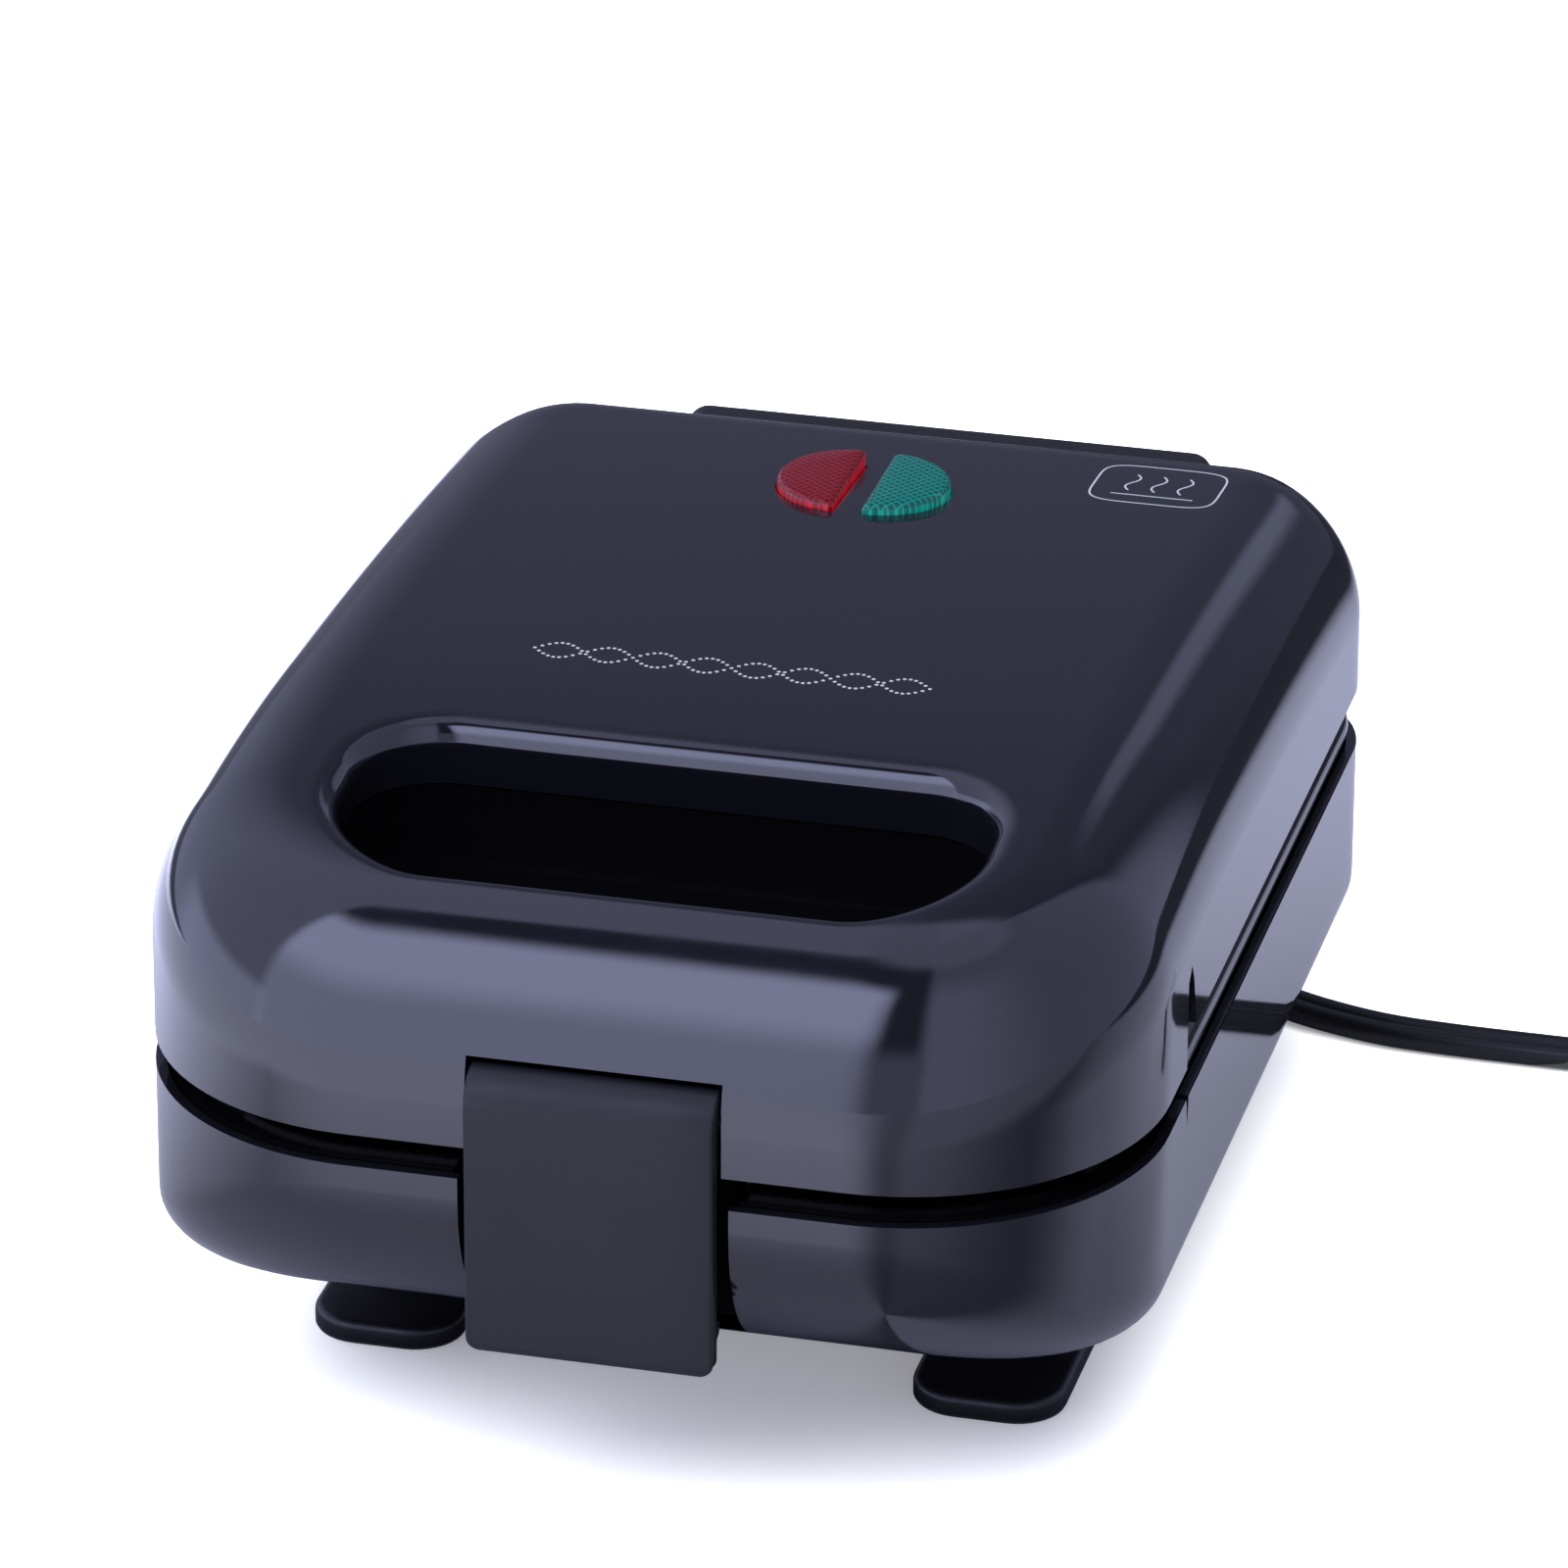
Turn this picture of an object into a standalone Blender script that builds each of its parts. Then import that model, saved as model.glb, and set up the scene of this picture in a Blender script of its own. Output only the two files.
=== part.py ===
"""Compact donut maker: two clamshell casings with ring moulds, a rear hinge and a front latch.

The frame is +Z up, with the origin on the table under the middle of the casing. The front latch
faces -Y and the hinge is at +Y. Sizes are in millimetres times MM, so the model is in metres.
"""
import math

import bmesh
import bpy
from mathutils import Matrix, Vector

MM = 0.001
GAP = 0.3 * MM

# Casing outline, seen from above
HALF_WIDTH = 65 * MM
FRONT_Y = -94.8 * MM
REAR_Y = 79 * MM
FRONT_CORNER = 33.5 * MM
REAR_CORNER = 20 * MM
SHEET = 1.4 * MM

# Heights above the table
BASE_BOTTOM = 21.5 * MM
BASE_EDGE = 46.9 * MM
SEAM = 51.05 * MM
LID_EDGE = 51.2 * MM
LID_SIDE_EDGE = 55.2 * MM
STEP_Y = -51 * MM

# The lid's crown: highest at CROWN_Y, falling as a parabola to the front and the rear
CROWN_Z = 86.6 * MM
CROWN_Y = -25 * MM
CROWN_FRONT = 1.85
CROWN_REAR = 0.476

# Edge rounding (side, front, rear) of the lid's top and of the base's underside
LID_ROUND = (18 * MM, 21 * MM, 12 * MM)
BASE_ROUND = (6 * MM, 22 * MM, 8 * MM)

# Finger slot in the lid
SLOT_HALF = 41 * MM
SLOT_FRONT = -76.5 * MM
SLOT_REAR = -46.5 * MM
SLOT_FRONT_CORNER = 15 * MM
SLOT_REAR_CORNER = 11 * MM
SLOT_LIP_Z = 77.4 * MM
WELL_FLOOR = 64.5 * MM

# Baking plates, four ring moulds each
PLATE_HALF = 56.5 * MM
PLATE_FRONT = -84 * MM
PLATE_REAR = 62 * MM
PLATE_CORNER = 14 * MM
PLATE_SHEET = 2.5 * MM
PLATE_FACE = 0.45 * MM
RING_X = 27 * MM
RING_Y = (-44 * MM, 22 * MM)
RING_RADIUS = 16 * MM
RING_BORE = 9 * MM
RING_WALL = 2.2 * MM
ELEMENT_BACK = PLATE_FACE + RING_BORE + RING_WALL + 3.7 * MM

# Hinge, latch and pilot lights
HINGE_Y = 88 * MM
HINGE_Z = SEAM
HINGE_PIN = 2 * MM
KNUCKLE = 5 * MM
LATCH_Y = -91.3 * MM
LATCH_Z = 57.2 * MM
LATCH_HALF = 15.8 * MM
LATCH_FRONT = -97.2 * MM
LATCH_BOTTOM = 24.4 * MM
LATCH_PIN = 1.2 * MM
LIGHT_Y = 44 * MM
LIGHT_RADIUS = 9.7 * MM
LIGHT_APART = 2 * MM

# Feet
FOOT_X = 39.9 * MM
FOOT_HALF = 10 * MM
FOOT_LENGTH = 38 * MM
FOOT_FRONT = -55 * MM
FOOT_REAR = 60 * MM
PAD_THICK = 3.2 * MM
POST_HALF = 7.7 * MM

# Cord, its coil and its plug
CORD_X = -17.5 * MM
CORD_Z = 30 * MM
CORD_RADIUS = 1.65 * MM
CORD_LOW = 1.7 * MM
RELIEF_END = 104.7 * MM
COIL_CENTRE = (139 * MM, 32.8 * MM)
COIL_RADIUS = 33 * MM
COIL_TURN = 3.4 * MM
COIL_END = math.radians(-10)
PLUG_START = 44 * MM
PLUG_Z = 7.2 * MM

GLOSS = ((0.012, 0.012, 0.018), 0.12, 0.0)
MATT = ((0.03, 0.03, 0.037), 0.55, 0.0)
NONSTICK = ((0.02, 0.02, 0.022), 0.42, 0.2)
STEEL = ((0.55, 0.55, 0.57), 0.3, 1.0)


def new_collection(name):
    """An empty collection linked to the scene."""
    collection = bpy.data.collections.new(name)
    bpy.context.scene.collection.children.link(collection)
    return collection


for leftover in list(bpy.data.objects):
    bpy.data.objects.remove(leftover, do_unlink=True)
PARTS = new_collection("donut_maker")
CUTTERS = new_collection("cutters")


# ---------------------------------------------------------------- shared tools

def material(name, look):
    """A plain Principled material from (colour, roughness, metallic)."""
    colour, roughness, metallic = look
    made = bpy.data.materials.new(name)
    made.use_nodes = True
    shader = made.node_tree.nodes["Principled BSDF"]
    shader.inputs["Base Color"].default_value = (*colour, 1)
    shader.inputs["Roughness"].default_value = roughness
    shader.inputs["Metallic"].default_value = metallic
    return made


def add(name, mesh, look=None, at=(0, 0, 0)):
    """A named object; without a look it is a hidden cutter."""
    made = bpy.data.objects.new(name, mesh)
    made.location = at
    if look is None:
        CUTTERS.objects.link(made)
        made.hide_render = True
        made.display_type = "WIRE"
    else:
        PARTS.objects.link(made)
        mesh.materials.append(material(name, look))
    return made


def mesh_from(bm, name, sharp=30):
    """Writes a bmesh to a mesh, smooth except across edges sharper than the angle in degrees."""
    bmesh.ops.recalc_face_normals(bm, faces=bm.faces)
    mesh = bpy.data.meshes.new(name)
    bm.to_mesh(mesh)
    bm.free()
    mesh.shade_smooth()
    mesh.set_sharp_from_angle(angle=math.radians(sharp))
    return mesh


def box(name, low, high, look=None, bevel=0.0, segments=2):
    """A box between two corners, with its edges rounded by a Bevel modifier."""
    bm = bmesh.new()
    bmesh.ops.create_cube(bm, size=1)
    size = [b - a for a, b in zip(low, high)]
    bmesh.ops.scale(bm, vec=size, verts=bm.verts)
    middle = [(a + b) / 2 for a, b in zip(low, high)]
    made = add(name, mesh_from(bm, name), look, middle)
    if bevel:
        rounding = made.modifiers.new("edges", "BEVEL")
        rounding.width = bevel
        rounding.segments = segments
    return made


def cylinder(name, radius, length, centre, axis="Z", look=None, sides=20):
    """A round bar along X, Y or Z."""
    bm = bmesh.new()
    bmesh.ops.create_cone(bm, cap_ends=True, segments=sides, radius1=radius, radius2=radius,
                          depth=length)
    turn = {"X": Matrix.Rotation(math.pi / 2, 3, "Y"), "Y": Matrix.Rotation(math.pi / 2, 3, "X"),
            "Z": Matrix.Identity(3)}[axis]
    bmesh.ops.rotate(bm, matrix=turn, verts=bm.verts)
    return add(name, mesh_from(bm, name), look, centre)


def turned(name, profile, look=None, at=(0, 0, 0), towards="Z", steps=16):
    """A profile of (radius, height) pairs, listed top to bottom, turned round its own axis."""
    mesh = bpy.data.meshes.new(name)
    points = [(radius, 0, height) for radius, height in profile]
    edges = [(i, i + 1) for i in range(len(points) - 1)]
    mesh.from_pydata(points, edges, [])
    made = add(name, mesh, look, at)
    made.rotation_euler = {"Z": (0, 0, 0), "-Z": (math.pi, 0, 0), "Y": (-math.pi / 2, 0, 0),
                           "-Y": (math.pi / 2, 0, 0)}[towards]
    screw = made.modifiers.new("turn", "SCREW")
    screw.steps = steps
    screw.render_steps = steps
    screw.use_merge_vertices = True
    screw.merge_threshold = 0.00001
    return made


def loft(name, rings, look=None, closed=False, sharp=30):
    """Joins outlines of equal length in order; capped at both ends, or closed round on itself."""
    bm = bmesh.new()
    rows = [[bm.verts.new(p) for p in ring] for ring in rings]
    pairs = list(zip(rows, rows[1:]))
    if closed:
        pairs.append((rows[-1], rows[0]))
    for low, high in pairs:
        for i in range(len(low)):
            j = (i + 1) % len(low)
            bm.faces.new((low[i], low[j], high[j], high[i]))
    if not closed:
        for row in (rows[0], rows[-1]):
            bm.faces.new(row)
    return add(name, mesh_from(bm, name, sharp), look)


def cut(target, tool, operation="DIFFERENCE"):
    """A Boolean modifier on the target, with the tool hidden among the cutters."""
    change = target.modifiers.new(tool.name, "BOOLEAN")
    change.object = tool
    change.operation = operation
    change.solver = "EXACT"
    return target


def extruded(name, outlines, half_depth, centre, look=None):
    """A flat outline in the YZ plane, with any holes, given thickness along X and made a mesh."""
    curve = bpy.data.curves.new(name, "CURVE")
    curve.dimensions = "2D"
    curve.fill_mode = "BOTH"
    curve.extrude = half_depth
    for outline in outlines:
        line = curve.splines.new("POLY")
        line.points.add(len(outline) - 1)
        for point, (y, z) in zip(line.points, outline):
            point.co = (y, z, 0, 1)
        line.use_cyclic_u = True
    holder = bpy.data.objects.new(name + "_curve", curve)
    CUTTERS.objects.link(holder)
    bpy.context.view_layer.update()
    flat = bpy.data.meshes.new_from_object(
        holder.evaluated_get(bpy.context.evaluated_depsgraph_get()))
    bpy.data.objects.remove(holder)
    bm = bmesh.new()
    bm.from_mesh(flat)
    bmesh.ops.remove_doubles(bm, verts=bm.verts, dist=0.000001)
    bmesh.ops.transform(bm, matrix=Matrix(((0, 0, 1), (1, 0, 0), (0, 1, 0))).to_4x4(),
                        verts=bm.verts)
    return add(name, mesh_from(bm, name), look, centre)


def arc(centre, radius, start, end, count):
    """Points (u, v) on a circle from one angle to another, in degrees."""
    angles = [math.radians(start + (end - start) * i / count) for i in range(count + 1)]
    return [(centre[0] + radius * math.cos(a), centre[1] + radius * math.sin(a)) for a in angles]


def rounded_plan(half, front, rear, front_corner, rear_corner, stations=(), per_corner=6):
    """A rectangle with rounded corners, seen from above, as (point, outward normal) pairs.

    It runs anticlockwise from the front edge's right end; stations are extra Y values on both
    sides, so that outlines of different sizes have the same number of points.
    """
    plan = []

    def corner(x, y, radius, start):
        for u, v in arc((0, 0), 1, start, start + 90, per_corner):
            plan.append((Vector((x + radius * u, y + radius * v, 0)), Vector((u, v, 0))))

    corner(half - front_corner, front + front_corner, front_corner, -90)
    for y in stations:
        plan.append((Vector((half, y, 0)), Vector((1, 0, 0))))
    corner(half - rear_corner, rear - rear_corner, rear_corner, 0)
    corner(rear_corner - half, rear - rear_corner, rear_corner, 90)
    for y in reversed(stations):
        plan.append((Vector((-half, y, 0)), Vector((-1, 0, 0))))
    corner(front_corner - half, front + front_corner, front_corner, 180)
    return plan


STATIONS = [y * MM for y in (-53, -49, -25, 5, 35)]
CASING = rounded_plan(HALF_WIDTH, FRONT_Y, REAR_Y, FRONT_CORNER, REAR_CORNER, STATIONS)
PLATE = rounded_plan(PLATE_HALF, PLATE_FRONT, PLATE_REAR, PLATE_CORNER, PLATE_CORNER, STATIONS)


def ring(plan, inset, height):
    """The plan drawn in by inset, at a height; either may be a function of point and normal."""
    made = []
    for point, normal in plan:
        by = inset(point, normal) if callable(inset) else inset
        placed = point - normal * by
        placed.z = height(placed, normal) if callable(height) else height
        made.append(placed)
    return made


def crown(y):
    """Height of the lid's top along its middle."""
    away = y - CROWN_Y
    fall = CROWN_REAR if away > 0 else CROWN_FRONT
    return CROWN_Z - fall * away * away


def lid_height(y):
    """Height of the lid's outer face over the middle, with its rounded front edge."""
    short = max(0.0, LID_ROUND[1] - (y - FRONT_Y))
    return crown(y) - LID_ROUND[1] + math.sqrt(LID_ROUND[1] ** 2 - short ** 2)


def rounding(radii, normal):
    """The edge radius for a wall that faces this way, from those of sides, front and rear."""
    lengthways = radii[1] if normal.y < 0 else radii[2]
    return radii[0] * normal.x ** 2 + lengthways * normal.y ** 2


def drawn_in(name, edge, top, look, shares):
    """A pressed casing: a wall from the edge, a rounded shoulder and a closed face, in sheet.

    top(y) is the height of its face at the middle, and radii are in shares.
    """
    radii, direction = shares
    rings = [ring(CASING, 0, edge)]
    for i in range(5):
        lean = math.pi / 2 * i / 4
        rings.append(ring(
            CASING,
            lambda p, n, a=lean: rounding(radii, n) * (1 - math.cos(a)),
            lambda p, n, a=lean: top(p.y) - direction * rounding(radii, n) * (1 - math.sin(a))))
    rim = rings[-1]
    middle_y = (FRONT_Y + REAR_Y) / 2
    for share in (0.7, 0.4, 0.12):
        inner = [Vector((p.x * share, middle_y + (p.y - middle_y) * share, 0)) for p in rim]
        for p in inner:
            p.z = top(p.y)
        rings.append(inner)
    bm = bmesh.new()
    rows = [[bm.verts.new(p) for p in one] for one in rings]
    for low, high in zip(rows, rows[1:]):
        for i in range(len(low)):
            j = (i + 1) % len(low)
            bm.faces.new((low[i], low[j], high[j], high[i]))
    bm.faces.new(rows[-1])
    bmesh.ops.recalc_face_normals(bm, faces=bm.faces)
    if sum(f.calc_center_median().z * f.normal.z * f.calc_area() for f in bm.faces) * direction < 0:
        bmesh.ops.reverse_faces(bm, faces=bm.faces)
    mesh = bpy.data.meshes.new(name)
    bm.to_mesh(mesh)
    bm.free()
    mesh.shade_smooth()
    mesh.set_sharp_from_angle(angle=math.radians(35))
    made = add(name, mesh, look)
    wall = made.modifiers.new("sheet", "SOLIDIFY")
    wall.thickness = SHEET
    wall.offset = -1
    wall.use_quality_normals = True
    return made


def slot_plan(grow):
    """The finger slot's outline, grown outwards."""
    return rounded_plan(SLOT_HALF + grow, SLOT_FRONT - grow, SLOT_REAR + grow,
                        SLOT_FRONT_CORNER + grow, SLOT_REAR_CORNER + grow, (), 5)


# ---------------------------------------------------------------- screws

SCREWS = []


def screw(name, at, towards, length, head=2.7 * MM, shank=1.3 * MM, through=()):
    """A pan-head screw whose head's underside is at the point; it is let into what it passes."""
    head_high = 1.8 * MM
    profile = [(0, head_high), (head * 0.75, head_high), (head, head_high * 0.4), (head, 0),
               (shank, 0), (shank, -length), (0, -length)]
    made = turned(name, profile, STEEL, at, towards, 12)
    hole = [(0, head_high + 6 * MM), (head + GAP, head_high + 6 * MM), (head + GAP, -GAP),
            (shank + GAP, -GAP), (shank + GAP, -length - GAP), (0, -length - GAP)]
    tool = turned(name + "_hole", hole, None, at, towards, 12)
    for target in through:
        cut(target, tool)
    SCREWS.append(made)
    return made


# ---------------------------------------------------------------- lid

upper_shell = drawn_in("upper_shell", LID_EDGE, crown, GLOSS, (LID_ROUND, 1))
lip = loft("slot_lip", [ring(slot_plan(4.2 * MM), 0, SLOT_LIP_Z),
                        ring(slot_plan(4.2 * MM), 0, lambda p, n: lid_height(p.y) - 0.6 * MM)])
cut(upper_shell, lip, "UNION")
slot_tool = loft("slot_cut", [
    ring(slot_plan(0), 0, 70 * MM),
    ring(slot_plan(0), 0, lambda p, n: lid_height(p.y) - 2.6 * MM),
    ring(slot_plan(3.2 * MM), 0, lambda p, n: lid_height(p.y) + 0.6 * MM),
    ring(slot_plan(3.2 * MM), 0, 95 * MM)])
cut(upper_shell, slot_tool)
cut(upper_shell, box("latch_cutout", (-16.2 * MM, -100 * MM, 40 * MM),
                     (16.2 * MM, -85 * MM, 63.4 * MM)))
cut(upper_shell, box("side_step", (-80 * MM, STEP_Y, 40 * MM), (80 * MM, 90 * MM, LID_SIDE_EDGE)))


def corner_slit(name, low, high, wide):
    """A narrow pointed slit through both side walls, wide at one height and closed at the other."""
    outline = [(STEP_Y - 0.05 * MM, low), (STEP_Y + wide, low), (STEP_Y + 0.4 * MM, high)]
    return extruded(name, [outline], 80 * MM, (0, 0, 0))


cut(upper_shell, corner_slit("lid_slit", LID_SIDE_EDGE - 1 * MM, 64.5 * MM, 1.5 * MM))


def half_disc(grow):
    """Outline of one pilot light, flat side towards the middle, as (x, y) for the right one."""
    radius = LIGHT_RADIUS + grow
    inner = LIGHT_APART - grow
    start = -math.degrees(math.acos(-grow / radius))
    return [(inner + grow + u, v) for u, v in arc((0, 0), radius, start, -start, 14)]


def light_ring(side, grow, height):
    """The half disc on one side of the middle, at a height."""
    points = [Vector((side * x, LIGHT_Y + y, height)) for x, y in half_disc(grow)]
    return points if side > 0 else points[::-1]


def lens(name, side, look):
    """A domed lens with a wider flange under the casing, and its hole."""
    top = crown(LIGHT_Y)
    made = loft(name, [
        light_ring(side, 1.2 * MM, top - 4 * MM),
        light_ring(side, 1.2 * MM, top - 2.7 * MM),
        light_ring(side, 0, top - 2.6 * MM),
        light_ring(side, 0, top + 1.1 * MM),
        light_ring(side, -0.9 * MM, top + 1.9 * MM)], look)
    cut(upper_shell, loft(name + "_hole", [light_ring(side, GAP, top - 3 * MM),
                                           light_ring(side, GAP, top + 3 * MM)]))
    return made


red_lens = lens("red_lens", -1, ((0.5, 0.01, 0.02), 0.15, 0.0))
green_lens = lens("green_lens", 1, ((0.0, 0.32, 0.28), 0.15, 0.0))

lamp_z = crown(LIGHT_Y) - 7.5 * MM
lamps = [
    cylinder("red_lamp", 2.2 * MM, 11 * MM, (-6.5 * MM, LIGHT_Y, lamp_z), "Y",
             ((0.9, 0.6, 0.5), 0.1, 0.0), 12),
    cylinder("green_lamp", 2.2 * MM, 11 * MM, (6.5 * MM, LIGHT_Y, lamp_z), "Y",
             ((0.7, 0.9, 0.8), 0.1, 0.0), 12)]
lamp_holder = box("lamp_holder", (-12 * MM, 36 * MM, 72.3 * MM),
                  (12 * MM, 52 * MM, lamp_z - 2.5 * MM), MATT, 0.6 * MM, 1)

finger_well = loft("finger_well", [
    ring(slot_plan(1.8 * MM), 0, WELL_FLOOR),
    ring(slot_plan(1.8 * MM), 0, SLOT_LIP_Z - GAP),
    ring(slot_plan(0.2 * MM), 0, SLOT_LIP_Z - GAP),
    ring(slot_plan(0.2 * MM), 0, WELL_FLOOR + 1.5 * MM)], MATT)


def bead_inset(flush, tucked):
    """Flush with the casing beside and behind the step, and tucked in round the front."""
    def inset(point, normal):
        return tucked if point.y < STEP_Y else flush
    return inset


def frame(name, mirror):
    """The plastic ring that carries a plate, with a rounded bead in the seam and a skirt."""
    def level(below_seam):
        return SEAM - below_seam if mirror < 0 else SEAM + below_seam

    soft, proud = bead_inset(1.8 * MM, 6.6 * MM), bead_inset(1.2 * MM, 6.0 * MM)
    grown = rounded_plan(PLATE_HALF + GAP, PLATE_FRONT - GAP, PLATE_REAR + GAP,
                         PLATE_CORNER + GAP, PLATE_CORNER + GAP, STATIONS)
    ledge = PLATE_FACE + PLATE_SHEET + GAP
    rings = [
        ring(CASING, soft, level(3.85 * MM)),
        ring(CASING, proud, level(2.95 * MM)),
        ring(CASING, proud, level(1.05 * MM)),
        ring(CASING, soft, level(0.15 * MM)),
        ring(grown, 0, level(0.15 * MM)),
        ring(grown, 0, level(ledge)),
        ring(PLATE, 3 * MM, level(ledge)),
        ring(PLATE, 3 * MM, level(ledge + 2.2 * MM)),
        ring(CASING, 3.6 * MM, level(ledge + 2.2 * MM)),
        ring(CASING, 3.6 * MM, level(7.4 * MM)),
        ring(CASING, 1.9 * MM, level(7.4 * MM)),
        ring(CASING, 1.9 * MM, level(3.85 * MM))]
    return loft(name, rings, MATT, closed=True)


upper_frame = frame("upper_frame", 1)
cut(upper_frame, box("latch_bay", (-20.5 * MM, -100 * MM, 53 * MM), (20.5 * MM, -83.9 * MM, 70 * MM)))


def plate(name, mirror):
    """A pressed plate whose four ring moulds bulge from its back."""
    face = SEAM + mirror * PLATE_FACE
    back = face + mirror * PLATE_SHEET
    made = loft(name, [ring(PLATE, 0, min(back, face - mirror * 0.5 * MM)),
                       ring(PLATE, 0, max(back, face - mirror * 0.5 * MM))], NONSTICK)
    for i, x in enumerate((-RING_X, RING_X)):
        for j, y in enumerate(RING_Y):
            for grow, what in ((RING_WALL, "UNION"), (0, "DIFFERENCE")):
                bpy.ops.mesh.primitive_torus_add(
                    location=(x, y, face), major_radius=RING_RADIUS,
                    minor_radius=RING_BORE + grow, major_segments=20, minor_segments=8,
                    rotation=(0, 0, 0))
                tool = bpy.context.object
                tool.name = f"{name}_{what.lower()}_{i}_{j}"
                for collection in list(tool.users_collection):
                    collection.objects.unlink(tool)
                CUTTERS.objects.link(tool)
                tool.hide_render = True
                tool.display_type = "WIRE"
                tool.rotation_euler.z = 0
                cut(made, tool, what)
    far = face - mirror * 30 * MM
    cut(made, box(name + "_trim", (-90 * MM, -110 * MM, min(face, far)),
                  (90 * MM, 110 * MM, max(face, far))))
    return made


upper_plate = plate("upper_plate", 1)


def element(name, mirror):
    """A tubular heating loop that crosses the backs of the four moulds."""
    z = SEAM + mirror * ELEMENT_BACK
    loop = rounded_plan(26 * MM, -34 * MM, 46 * MM, 14 * MM, 14 * MM, (), 4)
    points = [Vector((p.x, p.y, z)) for p, _ in loop]
    # The loop stays open at the rear, where its two terminals turn towards the hinge.
    gap_at = 10
    route = points[gap_at:] + points[:gap_at]
    route = [Vector((7 * MM, 60 * MM, z)), Vector((7 * MM, 50 * MM, z))] + [
        p for p in reversed(route)] + [Vector((-7 * MM, 50 * MM, z)), Vector((-7 * MM, 60 * MM, z))]
    return tube(name, route, 3.2 * MM, ((0.3, 0.3, 0.31), 0.45, 1.0))


def tube(name, points, radius, look):
    """A round wire through the points, in straight steps."""
    curve = bpy.data.curves.new(name, "CURVE")
    curve.dimensions = "3D"
    curve.bevel_depth = radius
    curve.bevel_resolution = 2
    curve.use_fill_caps = True
    line = curve.splines.new("POLY")
    line.points.add(len(points) - 1)
    for point, place in zip(line.points, points):
        point.co = (*place, 1)
    made = bpy.data.objects.new(name, curve)
    PARTS.objects.link(made)
    curve.materials.append(material(name, look))
    return made


def channel(name, low, high, mirror):
    """A folded reflector sheet: a flat web with a flange down (or up) each side."""
    sheet = 0.8 * MM
    made = box(name, low, high, ((0.7, 0.7, 0.72), 0.3, 1.0))
    hollow_low = (low[0] + sheet, low[1] - 5 * MM, low[2] - 5 * MM if mirror > 0 else low[2] + sheet)
    hollow_high = (high[0] - sheet, high[1] + 5 * MM,
                   high[2] - sheet if mirror > 0 else high[2] + 5 * MM)
    return cut(made, box(name + "_hollow", hollow_low, hollow_high))


upper_element = element("upper_element", 1)
upper_reflector = channel("upper_reflector", (-58 * MM, -43 * MM, 57 * MM),
                          (58 * MM, 66 * MM, 72 * MM), 1)
thermostat = turned("thermostat", [(0, 8 * MM), (5 * MM, 8 * MM), (7 * MM, 5 * MM), (7 * MM, 0),
                                   (0, 0)], STEEL, (0, -11 * MM, SEAM + 3.3 * MM), "Z", 16)
thermal_fuse = cylinder("thermal_fuse", 2 * MM, 10 * MM, (0, 0, SEAM + 5.4 * MM), "X",
                        ((0.75, 0.75, 0.7), 0.5, 0.0), 12)

# ---------------------------------------------------------------- hinge

axis_at = (0, HINGE_Y, HINGE_Z)


def round_hole(radius):
    """A circle about the pin, as the hole in an outline."""
    return arc((0, 0), radius, 0, 345, 23)


ear_outline = [(-8.7 * MM, -14.5 * MM), (-6.2 * MM, -14.5 * MM), (-3 * MM, -8.5 * MM)] + arc(
    (0, 0), KNUCKLE, -100, 200, 16) + [(-8.7 * MM, -7 * MM)]
arm_outline = arc((0, 0), KNUCKLE, 170, 405, 14) + [(-6.7 * MM, 18 * MM), (-8.7 * MM, 18 * MM),
                                                    (-8.7 * MM, 6.5 * MM)]

base_hinge_bracket = box("base_hinge_bracket", (-31 * MM, 79.3 * MM, 36.5 * MM),
                         (31 * MM, 81.8 * MM, 45.4 * MM), STEEL)
lid_hinge_bracket = box("lid_hinge_bracket", (-30 * MM, 79.3 * MM, 57.6 * MM),
                        (30 * MM, 81.3 * MM, 69 * MM), STEEL)
for side, word in ((-1, "left"), (1, "right")):
    ear = extruded("ear_" + word, [ear_outline, round_hole(HINGE_PIN + GAP)], 2.5 * MM,
                   (side * 28.5 * MM, HINGE_Y, HINGE_Z))
    cut(base_hinge_bracket, ear, "UNION")
    arm = extruded("arm_" + word, [arm_outline, round_hole(HINGE_PIN + GAP)], 2.7 * MM,
                   (side * 23 * MM, HINGE_Y, HINGE_Z))
    cut(lid_hinge_bracket, arm, "UNION")
hinge_pin = cylinder("hinge_pin", HINGE_PIN, 65 * MM, axis_at, "X", STEEL, 16)

hinge_cover = box("hinge_cover", (-37.5 * MM, 79.3 * MM, 51.6 * MM), (37.5 * MM, 97.2 * MM, 72 * MM),
                  MATT)
cover_edges = hinge_cover.modifiers.new("edges", "BEVEL")
cover_edges.width = 3 * MM
cover_edges.segments = 2
cut(hinge_cover, box("cover_hollow", (-35.5 * MM, 70 * MM, 40 * MM),
                     (35.5 * MM, 95.2 * MM, 70 * MM)))

# ---------------------------------------------------------------- latch

latch_outline = arc((0, 0), 3.6 * MM, -90, 60, 8) + arc(
    (-1.4 * MM, 0.6 * MM), 4.5 * MM, 90, 180, 6) + [
    (LATCH_FRONT - LATCH_Y, LATCH_BOTTOM - LATCH_Z + 1 * MM),
    (LATCH_FRONT - LATCH_Y + 1 * MM, LATCH_BOTTOM - LATCH_Z),
    (-3.1 * MM, LATCH_BOTTOM - LATCH_Z), (-3.1 * MM, -28.5 * MM), (-1.9 * MM, -27.9 * MM),
    (-1.9 * MM, -26.4 * MM), (-3.1 * MM, -25.8 * MM), (-3.1 * MM, -5.5 * MM)]
latch = extruded("latch", [latch_outline, round_hole(LATCH_PIN + GAP)], LATCH_HALF,
                 (0, LATCH_Y, LATCH_Z), MATT)
latch_pin = cylinder("latch_pin", LATCH_PIN, 38.6 * MM, (0, LATCH_Y, LATCH_Z), "X", STEEL, 12)

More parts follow.
